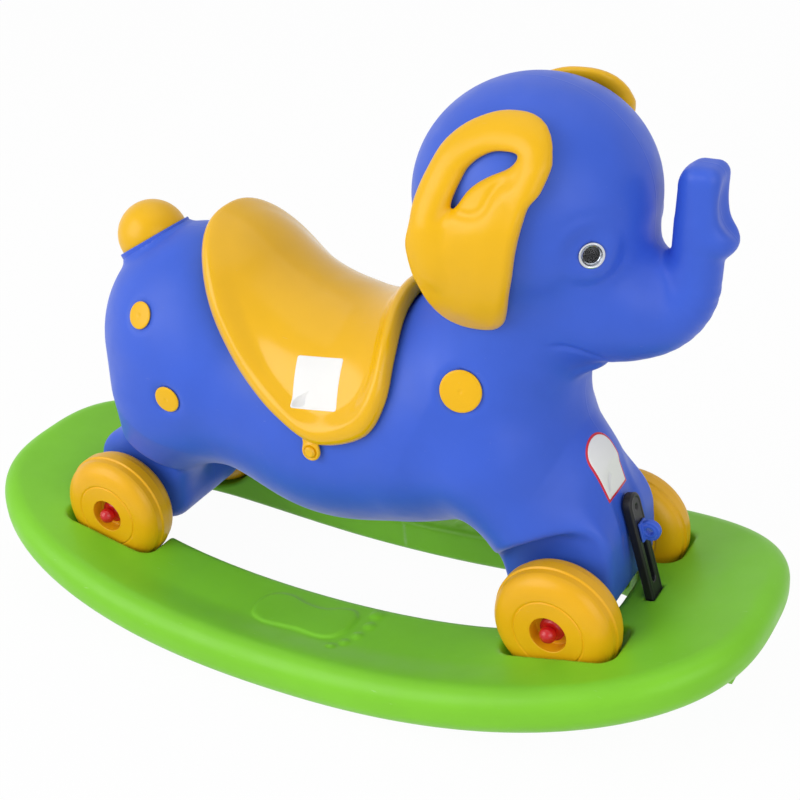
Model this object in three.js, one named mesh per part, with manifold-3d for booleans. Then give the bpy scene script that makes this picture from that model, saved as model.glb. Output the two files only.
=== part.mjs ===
// A blow-moulded ride-on elephant on four wheels, locked by a sliding strap into the wells of its rocker.
// Millimetres. +X is forward (the trunk), +Y is the elephant's left, +Z is up.
// The origin is under the middle of the rocker, on the surface that it stands on.

import * as THREE from "three";
import { mergeVertices } from "three/addons/utils/BufferGeometryUtils.js";
import Module from "manifold-3d";

const wasm = await Module();
wasm.setup();

// Fits shared by all pieces
const touchGap = 0.3; // between pieces that seat on each other
const runningGap = 0.5; // between a piece that turns or slides and its guide
const overrun = 6; // how far a cutting tool reaches past what it cuts
const mergeTolerance = 0.0001; // points nearer than this become one
const probe = 0.5; // half the step by which the body's slope is measured
const halvings = 40; // how often a search along a line halves its reach

// Wheels, turning on plain steel rods
const wheel = {
  radius: 58, width: 45, shoulder: 16.5, shoulderRadius: 56.3, shoulderRise: 15.2, faceRadius: 32.5,
  faceRidge: 0.9, recessRadius: 17, recessDepth: 13, bossRadius: 15, bossLength: 5, ridge: 1.2,
};
const wheelShoulderShares = [0.35, 0.62, 0.85];
const wheelShoulderPower = 2.6; // 2 would be an ellipse, more is squarer
const axle = { radius: 5, frontX: 245, rearX: -239, height: 87, bodyHalfWidth: 56 };
const cap = {
  baseRadius: 11.5, baseHeight: 3, knobRadius: 7.6, neckRadius: 6.6, height: 19, grip: 9, knobSteps: 4,
};
wheel.innerFace = axle.bodyHalfWidth + runningGap;
wheel.outerFace = wheel.innerFace + wheel.bossLength + wheel.width;

// Rocker: an oval ring whose underside is an arc
const rocker = {
  halfLength: 412, halfWidth: 190, squareness: 2.73, endBand: 129, sideBand: 118,
  holeSquareness: 4, height: 46.5, bendRadius: 1366, rimRadius: 20.5, dish: 7, edgeRadius: 8,
  dishHalfLength: 260, footDepth: 1.6, stations: 46,
};
rocker.holeHalfLength = rocker.halfLength - rocker.endBand;
rocker.holeHalfWidth = rocker.halfWidth - rocker.sideBand;
const deckShares = { rise: 2.1, riseDish: 0.7, middle: 0.45 };
const rimTurns = [-0.42, -0.14, 0.14, 0.38, 0.62]; // half turns round the rim, from below to above
const well = { clearance: 3, sideGap: 3, facets: 20 };
const stopBlock = { inset: 36, length: 30, width: 110, drop: 9 };

// Body of the elephant, as forms that flow into each other
const flow = {
  torso: 40, leg: 34, knee: 25, head: 26, muzzle: 26, trunk: 16, trunkRoot: 12, tip: 8, chin: 8,
};
const rump = { x: -155, z: 253, long: 110, wide: 100, tall: 116 };
const back = { rearX: -108, rearZ: 224, rearRadius: 86, frontX: 81, frontZ: 216, frontRadius: 98 };
const belly = { x: -8, z: 202, long: 117, wide: 96, tall: 101 };
const chest = { rearX: 114, rearZ: 237, rearRadius: 89, frontX: 229, frontZ: 172, frontRadius: 50 };
const neck = { lowX: 136, lowZ: 265, lowRadius: 74, highX: 185, highZ: 363, highRadius: 71 };
const rearBlock = { x: -234, z: 103, halfLength: 53, halfHeight: 46, corner: 34, edge: 16 };
const frontBlock = { x: 233, z: 119, halfLength: 51, halfHeight: 62, corner: 36, edge: 16 };
const thigh = {
  highX: -182, highY: 41, highZ: 195, highRadius: 54, lowX: -224, lowY: 35, lowZ: 114, lowRadius: 35,
};
const knee = {
  highX: 170, highY: 47, highZ: 208, highRadius: 44, lowX: 227, lowY: 40, lowZ: 119, lowRadius: 42,
};
const arch = { radius: 75, round: 16, blend: 18 };
const skull = { x: 197, z: 444, long: 102, wide: 101, tall: 96 };
const muzzle = { x: 253, z: 365, long: 59, wide: 58, tall: 57 };
const chin = { x: 224, z: 303, long: 34, wide: 26, tall: 11 };
const trunkRoot = { x: 291, z: 359, radius: 45 };
const trunkBend = { x: 307, z: 367, radius: 35 };
const trunkRise = { x: 331, z: 392, radius: 22 };
const trunkNeck = { x: 336, z: 435, radius: 18.5 };
const trunkEnd = { x: 336, z: 464, radius: 18 };
const trunkPath = [trunkRoot, trunkBend, trunkRise, trunkNeck, trunkEnd];
const tip = { x: 341, z: 450, halfLength: 15, halfWidth: 19, halfHeight: 33, round: 10 };
const lip = { x: 352, z: 424, long: 14, wide: 17, tall: 15 };
const nostril = { x: 373, z: 453, long: 20, wide: 12, tall: 24 };
const tailCollar = { x: -197, z: 322, tilt: 0.52, radius: 37, height: 36, edge: 4, blend: 8 };

// Grid on which the body's skin is drawn, finer round the trunk and in the middle
const grid = { coarse: 21, head: 18.5, fine: 10, across: 19, margin: 36, reach: 132 };

// Sides of the round pieces
const sides = { wheel: 22, cap: 12, rod: 14, spot: 15, eye: 15, tail: 20, hoop: 9, lobe: 26, strap: 7 };

// Pieces on the body
const tail = { radius: 30, neckRadius: 23, neckLength: 12, sunk: 6, ballSteps: 6 };
const spot = { dome: 3.2, shankShare: 0.62, shankLength: 8, recess: 1.6, margin: 1.6, toolLength: 12 };
const spotCrownShares = [[1, 0.45], [0.86, 0.8], [0.5, 1], [0, 1]]; // radius and height of the dot's crown
const spots = {
  rump_dot_upper: { x: -171, z: 311, radius: 10.5 },
  rump_dot_lower: { x: -141, z: 236, radius: 10.5 },
  shoulder_dot: { x: 160, z: 293, radius: 17 },
};
const eye = {
  x: 272, z: 424, radius: 10.6, lip: 1.6, wall: 2.6, depth: 7, floor: 2, pupilHeight: 1.4, domeHeight: 3.4,
};
const eyeLipShares = { outerHeight: 0.6, innerRadius: 0.7, innerHeight: 0.7 };
const lensTurns = [0, 0.4, 0.75, 1]; // quarter turns over the lens, from its edge to its middle
const saddle = {
  rearGap: 60, frontGap: 40, flapAngle: 1.45, axisZ: 215, centreShare: 0.52, spokes: 34, fit: 1.9,
  seatHeight: 8, rimHeight: 16, edgeHeight: 7, cantleHeight: 14, cantleFrom: 40, cantleTo: -90,
  edgeLiftShare: 0.9, tabX: 21, tabAngle: 1.53, tabRadius: 8.8, tabWidth: 13.2, tabThickness: 3, tabRise: 22,
};
saddle.rearX = tailCollar.x + saddle.rearGap;
saddle.length = neck.lowX - saddle.frontGap - saddle.rearX;
const saddleOutlineShares = [
  [0, 0], [0.03, 0.14], [0.14, 0.31], [0.27, 0.54], [0.39, 0.73], [0.54, 0.89], [0.72, 1],
  [0.91, 0.9], [0.99, 0.69], [0.99, 0.46], [0.96, 0.18], [0.95, 0],
];
const plug = { headRadius: 5.2, headHeight: 3.4, shankRadius: 3, shankLength: 11 };
const plugCrownShares = [[1, 0.4], [0.72, 0.85], [0, 1]]; // radius and height of the plug's crown
const ear = {
  x: 190, z: 450, standoff: 107, hoopRadius: 15, hoopFlat: 0.72, lobeHalf: 8, bevel: 4, steps: 18, facet: 28,
  rise: 90, reach: 60, dishUp: -10, dishRadius: 112.5, seatGap: 0.6, pegRadius: 13, pegX: 6, pegZ: -14,
  pegDepth: 14,
};
const hoopShares = [
  [-0.6, -0.44], [-0.64, -0.1], [-0.61, 0.12], [-0.53, 0.29], [-0.42, 0.45], [-0.29, 0.59], [-0.13, 0.69],
  [0.03, 0.75], [0.2, 0.79], [0.38, 0.8], [0.57, 0.79], [0.7, 0.75], [0.78, 0.67], [0.79, 0.58], [0.73, 0.44],
];
const lobeShares = [
  [-0.9, -0.15], [-0.64, 0.06], [-0.38, 0.05], [-0.24, 0.14], [-0.14, 0.23], [-0.05, 0.32], [0.09, 0.4],
  [0.25, 0.46], [0.4, 0.5], [0.54, 0.54], [0.7, 0.61], [0.93, 0.61], [1, 0.6], [0.95, 0.53],
  [0.83, 0.37], [0.76, 0.2], [0.68, 0.01], [0.6, -0.2], [0.53, -0.4], [0.42, -0.62], [0.3, -0.84],
  [0.16, -1.01], [0, -1.09], [-0.25, -1.12], [-0.48, -1.1], [-0.66, -1.02], [-0.8, -0.84], [-0.88, -0.56],
  [-0.91, -0.35],
];

// Strap latch, sliding in a channel of the chest, and the eye peg that guides it
const latch = {
  topX: 280.5, topZ: 177, lean: 0.24, width: 23, thickness: 8, length: 110, slotWidth: 7.4, slotLength: 56,
  slotDrop: 32, travel: 22, pocketGap: 1, bedGap: 5,
};
const towEye = {
  ringRadius: 9.5, holeRadius: 3.6, thickness: 6, ahead: 8, flangeHeight: 18, flangeWidth: 13,
  flangeThickness: 2, shankRadius: 3.2, shankLength: 16, drop: 36.5,
};

const colours = {
  blue: 0x3f66dc, yellow: 0xf2be1a, wheelYellow: 0xeab012, green: 0x80c92e, red: 0xc8141c,
  black: 0x16161a, silver: 0xc8ccd2, steel: 0x9a9ca0, clear: 0xeef2f6, pupil: 0x08080a,
};

function material(colour, roughness, metalness = 0) {
  return new THREE.MeshStandardMaterial({ color: colour, roughness, metalness });
}

const bodyBlue = material(colours.blue, 0.5);
const earYellow = material(colours.yellow, 0.35);
const saddleYellow = material(colours.yellow, 0.22);
const wheelYellow = material(colours.wheelYellow, 0.35);
const rockerGreen = material(colours.green, 0.45);
const capRed = material(colours.red, 0.25);
const strapBlack = material(colours.black, 0.5);
const bezelSilver = material(colours.silver, 0.2, 0.9);
const rodSteel = material(colours.steel, 0.3, 1);
const lensClear = material(colours.clear, 0.05);
const pupilBlack = material(colours.pupil, 0.3);

const elephant = new THREE.Group();

function addPiece(name, geometry, finish) {
  const mesh = new THREE.Mesh(geometry, finish);
  mesh.name = name;
  elephant.add(mesh);
  return mesh;
}

// Solids: closed geometry to a solid that can be cut, and back
function solidOf(geometry) {
  const bare = new THREE.BufferGeometry();
  bare.setAttribute("position", geometry.getAttribute("position"));
  bare.setIndex(geometry.getIndex());
  const merged = mergeVertices(bare, mergeTolerance);
  const index = merged.getIndex().array;
  const kept = [];
  for (let i = 0; i < index.length; i += 3) {
    const [a, b, c] = [index[i], index[i + 1], index[i + 2]];
    if (a !== b && b !== c && c !== a) kept.push(a, b, c);
  }
  return new wasm.Manifold(new wasm.Mesh({
    numProp: 3,
    vertProperties: new Float32Array(merged.getAttribute("position").array),
    triVerts: new Uint32Array(kept),
  }));
}

function indexedGeometry(flatPoints, index) {
  const geometry = new THREE.BufferGeometry();
  geometry.setAttribute("position", new THREE.BufferAttribute(new Float32Array(flatPoints), 3));
  geometry.setIndex(index);
  return geometry;
}

function geometryOf(solid) {
  const mesh = solid.getMesh();
  const geometry = new THREE.BufferGeometry();
  geometry.setAttribute("position", new THREE.BufferAttribute(new Float32Array(mesh.vertProperties), 3));
  geometry.setIndex(new THREE.BufferAttribute(new Uint32Array(mesh.triVerts), 1));
  geometry.computeVertexNormals();
  return geometry;
}

function placed(geometry, matrix) {
  return geometry.clone().applyMatrix4(matrix);
}

function mirrored(geometry) {
  const copy = geometry.index ? geometry.toNonIndexed() : geometry.clone();
  const p = copy.getAttribute("position");
  for (let i = 0; i < p.count; i += 3) {
    const [ax, ay, az] = [p.getX(i), p.getY(i), p.getZ(i)];
    p.setXYZ(i, p.getX(i + 1), -p.getY(i + 1), p.getZ(i + 1));
    p.setXYZ(i + 1, ax, -ay, az);
    p.setXYZ(i + 2, p.getX(i + 2), -p.getY(i + 2), p.getZ(i + 2));
  }
  copy.computeVertexNormals();
  return copy;
}

// A solid of revolution round Y from [radius, height] points, whichever way round they are listed
function turned(points, segments) {
  let area = 0;
  points.forEach(([x, y], i) => {
    const [nx, ny] = points[(i + 1) % points.length];
    area += x * ny - nx * y;
  });
  const ordered = area > 0 ? points : [...points].reverse();
  const profile = ordered.map(([x, y]) => new THREE.Vector2(x, y));
  if (profile[0].x > 0) profile.push(profile[0].clone());
  return new THREE.LatheGeometry(profile, segments);
}

function arc(radius, centreX, centreY, from, to, steps) {
  return Array.from({ length: steps + 1 }, (_, i) => {
    const angle = from + ((to - from) * i) / steps;
    return [centreX + radius * Math.cos(angle), centreY + radius * Math.sin(angle)];
  });
}

// Frame at a point: local Y runs along the given direction
function alongDirection(point, direction) {
  const turn = new THREE.Quaternion().setFromUnitVectors(new THREE.Vector3(0, 1, 0), direction);
  return new THREE.Matrix4().compose(point, turn, new THREE.Vector3(1, 1, 1));
}

// Smooth forms: each gives about the distance to its skin, negative inside
function smoothMin(a, b, k) {
  const h = Math.max(k - Math.abs(a - b), 0) / k;
  return Math.min(a, b) - (h * h * k) / 4;
}

function smoothMax(a, b, k) {
  return -smoothMin(-a, -b, k);
}

function egg(x, y, z, form) {
  const [u, v, w] = [(x - form.x) / form.long, y / form.wide, (z - form.z) / form.tall];
  const reach = Math.hypot(u, v, w);
  const slope = Math.hypot(u / form.long, v / form.wide, w / form.tall);
  return slope > 0 ? (reach * (reach - 1)) / slope : -Math.min(form.long, form.wide, form.tall);
}

function limb(x, y, z, ax, ay, az, ar, bx, by, bz, br) {
  const [dx, dy, dz] = [bx - ax, by - ay, bz - az];
  const along = ((x - ax) * dx + (y - ay) * dy + (z - az) * dz) / (dx * dx + dy * dy + dz * dz);
  const t = Math.min(Math.max(along, 0), 1);
  return Math.hypot(x - ax - t * dx, y - ay - t * dy, z - az - t * dz) - (ar + (br - ar) * t);
}

function block(x, y, z, form, halfWidth) {
  const px = Math.abs(x - form.x) - form.halfLength + form.corner;
  const pz = Math.abs(z - form.z) - form.halfHeight + form.corner;
  const outline = Math.hypot(Math.max(px, 0), Math.max(pz, 0)) + Math.min(Math.max(px, pz), 0) - form.corner;
  const qa = outline + form.edge;
  const qb = Math.abs(y) - halfWidth + form.edge;
  return Math.min(Math.max(qa, qb), 0) + Math.hypot(Math.max(qa, 0), Math.max(qb, 0)) - form.edge;
}

function softBox(x, y, z, form) {
  const qx = Math.abs(x - form.x) - form.halfLength + form.round;
  const qy = Math.abs(y) - form.halfWidth + form.round;
  const qz = Math.abs(z - form.z) - form.halfHeight + form.round;
  const outside = Math.hypot(Math.max(qx, 0), Math.max(qy, 0), Math.max(qz, 0));
  return outside + Math.min(Math.max(qx, qy, qz), 0) - form.round;
}

function torsoForm(x, y, z) {
  let d = egg(x, y, z, rump);
  d = smoothMin(d, limb(x, y, z, back.rearX, 0, back.rearZ, back.rearRadius,
    back.frontX, 0, back.frontZ, back.frontRadius), flow.torso);
  d = smoothMin(d, egg(x, y, z, belly), flow.torso);
  d = smoothMin(d, limb(x, y, z, chest.rearX, 0, chest.rearZ, chest.rearRadius,
    chest.frontX, 0, chest.frontZ, chest.frontRadius), flow.torso);
  d = smoothMin(d, limb(x, y, z, neck.lowX, 0, neck.lowZ, neck.lowRadius,
    neck.highX, 0, neck.highZ, neck.highRadius), flow.torso);
  for (const [leg, foot] of [[thigh, rearBlock], [knee, frontBlock]]) {
    const upper = limb(x, y, z, leg.highX, leg.highY, leg.highZ, leg.highRadius,
      leg.lowX, leg.lowY, leg.lowZ, leg.lowRadius);
    const lower = block(x, y, z, foot, axle.bodyHalfWidth);
    d = smoothMin(d, smoothMin(upper, lower, flow.knee), flow.leg);
  }
  for (const axleX of [axle.frontX, axle.rearX]) {
    const round = Math.hypot(x - axleX, z - axle.height) - arch.radius;
    const hollow = smoothMax(round, axle.bodyHalfWidth + runningGap - y, arch.round);
    d = smoothMax(d, -hollow, arch.blend);
  }
  return d;
}

function headForm(x, y, z) {
  let d = smoothMin(egg(x, y, z, skull), egg(x, y, z, muzzle), flow.muzzle);
  let trunk = Infinity;
  for (let i = 1; i < trunkPath.length; i += 1) {
    const [a, b] = [trunkPath[i - 1], trunkPath[i]];
    const part = limb(x, y, z, a.x, 0, a.z, a.radius, b.x, 0, b.z, b.radius);
    trunk = i === 1 ? part : smoothMin(trunk, part, flow.trunk);
  }
  trunk = smoothMin(trunk, softBox(x, y, z, tip), flow.tip);
  trunk = smoothMin(trunk, egg(x, y, z, lip), flow.tip);
  trunk = smoothMax(trunk, -egg(x, y, z, nostril), flow.tip);
  d = smoothMin(d, trunk, flow.trunkRoot);
  return d;
}

const tailAxis = new THREE.Vector3(-Math.sin(tailCollar.tilt), 0, Math.cos(tailCollar.tilt));

function collarForm(x, y, z) {
  const along = (x - tailCollar.x) * tailAxis.x + (z - tailCollar.z) * tailAxis.z;
  const across = Math.hypot((x - tailCollar.x) * tailAxis.z - (z - tailCollar.z) * tailAxis.x, y);
  const qa = across - tailCollar.radius + tailCollar.edge;
  const qb = Math.abs(along) - tailCollar.height + tailCollar.edge;
  return Math.min(Math.max(qa, qb), 0) + Math.hypot(Math.max(qa, 0), Math.max(qb, 0)) - tailCollar.edge;
}

// The whole body's skin is where this is zero; both sides are alike
function bodyForm(x, sideways, z) {
  const y = Math.abs(sideways);
  let d = smoothMin(torsoForm(x, y, z), headForm(x, y, z), flow.head);
  d = smoothMin(d, egg(x, y, z, chin), flow.chin);
  return smoothMin(d, collarForm(x, y, z), tailCollar.blend);
}

function slopeAt(form, p) {
  return new THREE.Vector3(
    form(p.x + probe, p.y, p.z) - form(p.x - probe, p.y, p.z),
    form(p.x, p.y + probe, p.z) - form(p.x, p.y - probe, p.z),
    form(p.x, p.y, p.z + probe) - form(p.x, p.y, p.z - probe),
  ).divideScalar(2 * probe);
}

// Where a line from inside the body first comes out, lifted off the skin by an offset
function skinAlong(start, direction, offset, reach) {
  let [inside, outside] = [0, reach];
  const p = new THREE.Vector3();
  for (let i = 0; i < halvings; i += 1) {
    const middle = (inside + outside) / 2;
    p.copy(start).addScaledVector(direction, middle);
    if (bodyForm(p.x, p.y, p.z) < offset) inside = middle;
    else outside = middle;
  }
  return p.copy(start).addScaledVector(direction, inside);
}

// Seat on the right-hand flank at a given x and z, with the direction that faces out
function flankSeat(x, z) {
  const point = skinAlong(new THREE.Vector3(x, 0, z), new THREE.Vector3(0, -1, 0), 0, grid.reach);
  return { point, out: slopeAt(bodyForm, point).normalize() };
}

// Grid lines from zones that each give where they end and their step
function gridLines(start, zones) {
  const lines = [start];
  for (const { to, step } of zones) {
    const from = lines[lines.length - 1];
    const count = Math.max(1, Math.round((to - from) / step));
    for (let i = 1; i <= count; i += 1) lines.push(from + ((to - from) * i) / count);
  }
  return lines;
}

// Cells whose inside or outside corners don't hang together get a corner moved across the skin
const cellInsetShare = 0.05;
const leastSlopeSquared = 0.2; // keeps a point from jumping where the form is nearly level
const pulls = 4; // how often a point is pulled to the skin
const settleRounds = 12;
const cellCorners = [0, 1, 2, 3, 4, 5, 6, 7].map((c) => [c & 1, (c >> 1) & 1, (c >> 2) & 1]);

function cornersOf(at, i, j, k) {
  return cellCorners.map(([a, b, c]) => at(i + a, j + b, k + c));
}

function hangsTogether(signs, wanted) {
  const members = signs.map((s, c) => (s === wanted ? c : -1)).filter((c) => c >= 0);
  if (members.length < 2) return true;
  const seen = new Set([members[0]]);
  const queue = [members[0]];
  while (queue.length) {
    const c = queue.pop();
    for (const bit of [1, 2, 4]) {
      const next = c ^ bit;
      if (signs[next] === wanted && !seen.has(next)) {
        seen.add(next);
        queue.push(next);
      }
    }
  }
  return seen.size === members.length;
}

// True where two opposite corners of a cell's face are inside and the other two are outside
function hasCrossedFace(signs) {
  return [[1, 2, 4], [2, 4, 1], [4, 1, 2]].some(([a, b, across]) => [0, across].some((base) => (
    signs[base] === signs[base + a + b] && signs[base + a] === signs[base + b] && signs[base] !== signs[base + a]
  )));
}

function settleCells(values, at, [nx, ny, nz]) {
  for (let round = 0; round < settleRounds; round += 1) {
    let moved = 0;
    for (let i = 0; i < nx - 1; i += 1)
      for (let j = 0; j < ny - 1; j += 1)
        for (let k = 0; k < nz - 1; k += 1) {
          const places = cornersOf(at, i, j, k);
          const signs = places.map((p) => values[p] < 0);
          if (hangsTogether(signs, true) && hangsTogether(signs, false) && !hasCrossedFace(signs)) continue;
          const weakest = places.reduce((a, b) => (Math.abs(values[b]) < Math.abs(values[a]) ? b : a));
          values[weakest] = values[weakest] < 0 ? probe : -probe;
          moved += 1;
        }
    if (!moved) return;
  }
}

// Closed skin of a form: one point in each cell that the skin passes through, pulled onto the skin
function skinOf(form, xs, ys, zs) {
  const size = [xs.length, ys.length, zs.length];
  const at = (i, j, k) => (i * size[1] + j) * size[2] + k;
  const values = new Float64Array(size[0] * size[1] * size[2]);
  xs.forEach((x, i) => ys.forEach((y, j) => zs.forEach((z, k) => {
    values[at(i, j, k)] = form(x, y, z);
  })));
  settleCells(values, at, size);
  const pointOf = new Int32Array(values.length).fill(-1);
  const points = [];
  for (let i = 0; i < size[0] - 1; i += 1)
    for (let j = 0; j < size[1] - 1; j += 1)
      for (let k = 0; k < size[2] - 1; k += 1) {
        const sum = new THREE.Vector3();
        let hits = 0;
        cellCorners.forEach(([a, b, c], corner) => {
          for (const [bit, da, db, dc] of [[1, 1, 0, 0], [2, 0, 1, 0], [4, 0, 0, 1]]) {
            if (corner & bit) continue;
            const v0 = values[at(i + a, j + b, k + c)];
            const v1 = values[at(i + a + da, j + b + db, k + c + dc)];
            if (v0 < 0 === v1 < 0) continue;
            const t = v0 / (v0 - v1);
            sum.x += xs[i + a] + da * t * (xs[i + 1] - xs[i]);
            sum.y += ys[j + b] + db * t * (ys[j + 1] - ys[j]);
            sum.z += zs[k + c] + dc * t * (zs[k + 1] - zs[k]);
            hits += 1;
          }
        });
        if (!hits) continue;
        const low = new THREE.Vector3(xs[i], ys[j], zs[k]);
        const high = new THREE.Vector3(xs[i + 1], ys[j + 1], zs[k + 1]);
        const inset = high.clone().sub(low).multiplyScalar(cellInsetShare);
        low.add(inset);
        high.sub(inset);
        const p = sum.divideScalar(hits);
        for (let pull = 0; pull < pulls; pull += 1) {
          const slope = slopeAt(form, p);
          const value = form(p.x, p.y, p.z);
          p.addScaledVector(slope, -value / Math.max(slope.lengthSq(), leastSlopeSquared)).clamp(low, high);
        }
        pointOf[at(i, j, k)] = points.length;
        points.push(p);
      }
  const index = [];
  const quad = (a, b, c, d, inward) => {
    const [p, q, r, s] = [a, b, c, d].map((n) => points[n]);
    const ring = inward ? [d, c, b, a] : [a, b, c, d];
    if (p.distanceToSquared(r) <= q.distanceToSquared(s))
      index.push(ring[0], ring[1], ring[2], ring[0], ring[2], ring[3]);
    else index.push(ring[1], ring[2], ring[3], ring[1], ring[3], ring[0]);
  };
  for (let i = 1; i < size[0] - 1; i += 1)
    for (let j = 1; j < size[1] - 1; j += 1)
      for (let k = 1; k < size[2] - 1; k += 1) {
        const here = values[at(i, j, k)] < 0;
        const cell = (a, b, c) => pointOf[at(i - a, j - b, k - c)];
        if (here !== values[at(i + 1, j, k)] < 0)
          quad(cell(0, 1, 1), cell(0, 0, 1), cell(0, 0, 0), cell(0, 1, 0), !here);
        if (here !== values[at(i, j + 1, k)] < 0)
          quad(cell(1, 0, 1), cell(1, 0, 0), cell(0, 0, 0), cell(0, 0, 1), !here);
        if (here !== values[at(i, j, k + 1)] < 0)
          quad(cell(1, 1, 0), cell(0, 1, 0), cell(0, 0, 0), cell(1, 0, 0), !here);
      }
  return indexedGeometry(points.flatMap((p) => [p.x, p.y, p.z]), index);
}

function rodTool(radius, from, to, segments = sides.rod) {
  const axis = new THREE.Vector3().subVectors(to, from);
  const tool = new THREE.CylinderGeometry(radius, radius, axis.length(), segments);
  const middle = new THREE.Vector3().addVectors(from, to).multiplyScalar(0.5);
  return solidOf(placed(tool, alongDirection(middle, axis.normalize())));
}

// Pockets that the attached pieces seat in, collected while those pieces are made
const bodyCuts = [];

function bothSides(make) {
  for (const [side, flip] of [["right", false], ["left", true]])
    make(side, (geometry) => (flip ? mirrored(geometry) : geometry));
}

function cutBodyBothSides(solid) {
  const geometry = geometryOf(solid);
  bodyCuts.push(solid, solidOf(mirrored(geometry)));
}

// Wheels, with a hub recess on the outer face and a short boss on the inner one
function wheelGeometry() {
  const bore = axle.radius + runningGap;
  const w = wheel.width;
  const shoulderSpan = wheel.shoulderRadius - wheel.faceRadius;
  const shoulder = wheelShoulderShares.map((share) => [
    wheel.faceRadius + shoulderSpan * share,
    wheel.shoulderRise * (1 - Math.sqrt(1 - share ** wheelShoulderPower)),
  ]);
  const half = [
    [wheel.faceRadius - wheel.faceRidge, 0],
    [wheel.faceRadius, wheel.faceRidge],
    ...shoulder,
    [wheel.shoulderRadius, wheel.shoulder],
    [wheel.radius, wheel.shoulder + wheel.ridge],
  ];
  const points = [
    [bore, wheel.recessDepth], [wheel.recessRadius, wheel.recessDepth], [wheel.recessRadius, 0],
    ...half,
    ...half.slice(1).reverse().map(([r, a]) => [r, w - a]),
    [wheel.bossRadius, w], [wheel.bossRadius, w + wheel.bossLength], [bore, w + wheel.bossLength],
  ];
  return turned(points.map(([r, a]) => [r, wheel.outerFace - a]), sides.wheel);
}

function capGeometry() {
  const bore = axle.radius + touchGap;
  const seat = wheel.outerFace - wheel.recessDepth + runningGap;
  const knobCentre = cap.height - cap.knobRadius;
  const start = -Math.acos(cap.neckRadius / cap.knobRadius);
  const points = [
    [0, cap.grip], [bore, cap.grip], [bore, 0], [cap.baseRadius, 0], [cap.baseRadius, cap.baseHeight],
    ...arc(cap.knobRadius, 0, knobCentre, start, Math.PI / 2, cap.knobSteps),
  ];
  points[points.length - 1][0] = 0;
  return turned(points.map(([r, a]) => [r, seat + a]), sides.cap);
}

for (const [end, axleX] of [["front", axle.frontX], ["rear", axle.rearX]]) {
  const wheelShape = wheelGeometry();
  const capShape = capGeometry();
  for (const [side, turn] of [["left", 0], ["right", Math.PI]]) {
    for (const [name, shape, finish] of [["wheel", wheelShape, wheelYellow], ["axle_cap", capShape, capRed]]) {
      const mesh = addPiece(`${name}_${end}_${side}`, shape, finish);
      mesh.position.set(axleX, 0, axle.height);
      mesh.rotation.x = turn;
    }
  }
  const rodEnd = wheel.outerFace - wheel.recessDepth + runningGap + cap.grip - touchGap;
  const rodShape = new THREE.CylinderGeometry(axle.radius, axle.radius, 2 * rodEnd, sides.rod);
  const rod = addPiece(`axle_${end}`, rodShape, rodSteel);
  rod.position.set(axleX, 0, axle.height);
  const ends = [-1, 1].map((s) => new THREE.Vector3(axleX, s * (axle.bodyHalfWidth + overrun), axle.height));
  bodyCuts.push(rodTool(axle.radius + touchGap, ends[0], ends[1]));
}

// Round plugs set in shallow recesses of the skin
function spotParts({ x, z, radius }) {
  const seat = flankSeat(x, z);
  const frame = alongDirection(seat.point, seat.out);
  const shank = radius * spot.shankShare;
  const floor = -spot.recess;
  const head = placed(turned([
    [0, floor - spot.shankLength], [shank, floor - spot.shankLength], [shank, floor + touchGap],
    [radius, floor + touchGap], ...spotCrownShares.map(([r, h]) => [radius * r, spot.dome * h]),
  ], sides.spot), frame);
  const recess = radius + spot.margin;
  const pocket = placed(turned([
    [0, floor - spot.shankLength - touchGap], [shank + touchGap, floor - spot.shankLength - touchGap],
    [shank + touchGap, floor], [recess, floor], [recess, spot.toolLength], [0, spot.toolLength],
  ], sides.spot), frame);
  return { head, pocket };
}

for (const [name, place] of Object.entries(spots)) {
  const { head, pocket } = spotParts(place);
  cutBodyBothSides(solidOf(pocket));
  bothSides((side, keep) => addPiece(`${name}_${side}`, keep(head), earYellow));
}

// Eyes: a silver cup, the black disc in it and a clear dome
function eyeParts() {
  const seat = flankSeat(eye.x, eye.z);
  const frame = alongDirection(seat.point, seat.out);
  const inner = eye.radius - eye.wall;
  const cupFloor = eye.floor - eye.depth;
  const pupilTop = cupFloor + touchGap + eye.pupilHeight;
  const bezel = turned([
    [0, -eye.depth], [eye.radius - eye.lip, -eye.depth], [eye.radius - eye.lip, touchGap],
    [eye.radius, touchGap], [eye.radius, eye.lip * eyeLipShares.outerHeight],
    [eye.radius - eye.lip * eyeLipShares.innerRadius, eye.lip],
    [inner + touchGap, eye.lip * eyeLipShares.innerHeight], [inner, touchGap], [inner, cupFloor], [0, cupFloor],
  ], sides.eye);
  const disc = inner - touchGap;
  const pupil = turned([
    [0, cupFloor + touchGap], [disc, cupFloor + touchGap], [disc, pupilTop], [0, pupilTop],
  ], sides.eye);
  const lensFoot = pupilTop + touchGap;
  const dome = lensTurns.map((t) => [
    disc * Math.cos((t * Math.PI) / 2),
    touchGap + (eye.domeHeight - touchGap) * Math.sin((t * Math.PI) / 2),
  ]);
  dome[dome.length - 1][0] = 0;
  const lens = turned([[0, lensFoot], [disc, lensFoot], ...dome], sides.eye);
  const hole = eye.radius - eye.lip + touchGap;
  const flat = eye.radius + touchGap;
  const pocket = turned([
    [0, -eye.depth - touchGap], [hole, -eye.depth - touchGap], [hole, 0],
    [flat, 0], [flat, overrun], [0, overrun],
  ], sides.eye);
  return { bezel, pupil, lens, pocket, frame };
}

const eyeShapes = eyeParts();
cutBodyBothSides(solidOf(placed(eyeShapes.pocket, eyeShapes.frame)));
bothSides((side, keep) => {
  addPiece(`eye_bezel_${side}`, keep(placed(eyeShapes.bezel, eyeShapes.frame)), bezelSilver);
  addPiece(`eye_pupil_${side}`, keep(placed(eyeShapes.pupil, eyeShapes.frame)), pupilBlack);
  addPiece(`eye_lens_${side}`, keep(placed(eyeShapes.lens, eyeShapes.frame)), lensClear);
});

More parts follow.
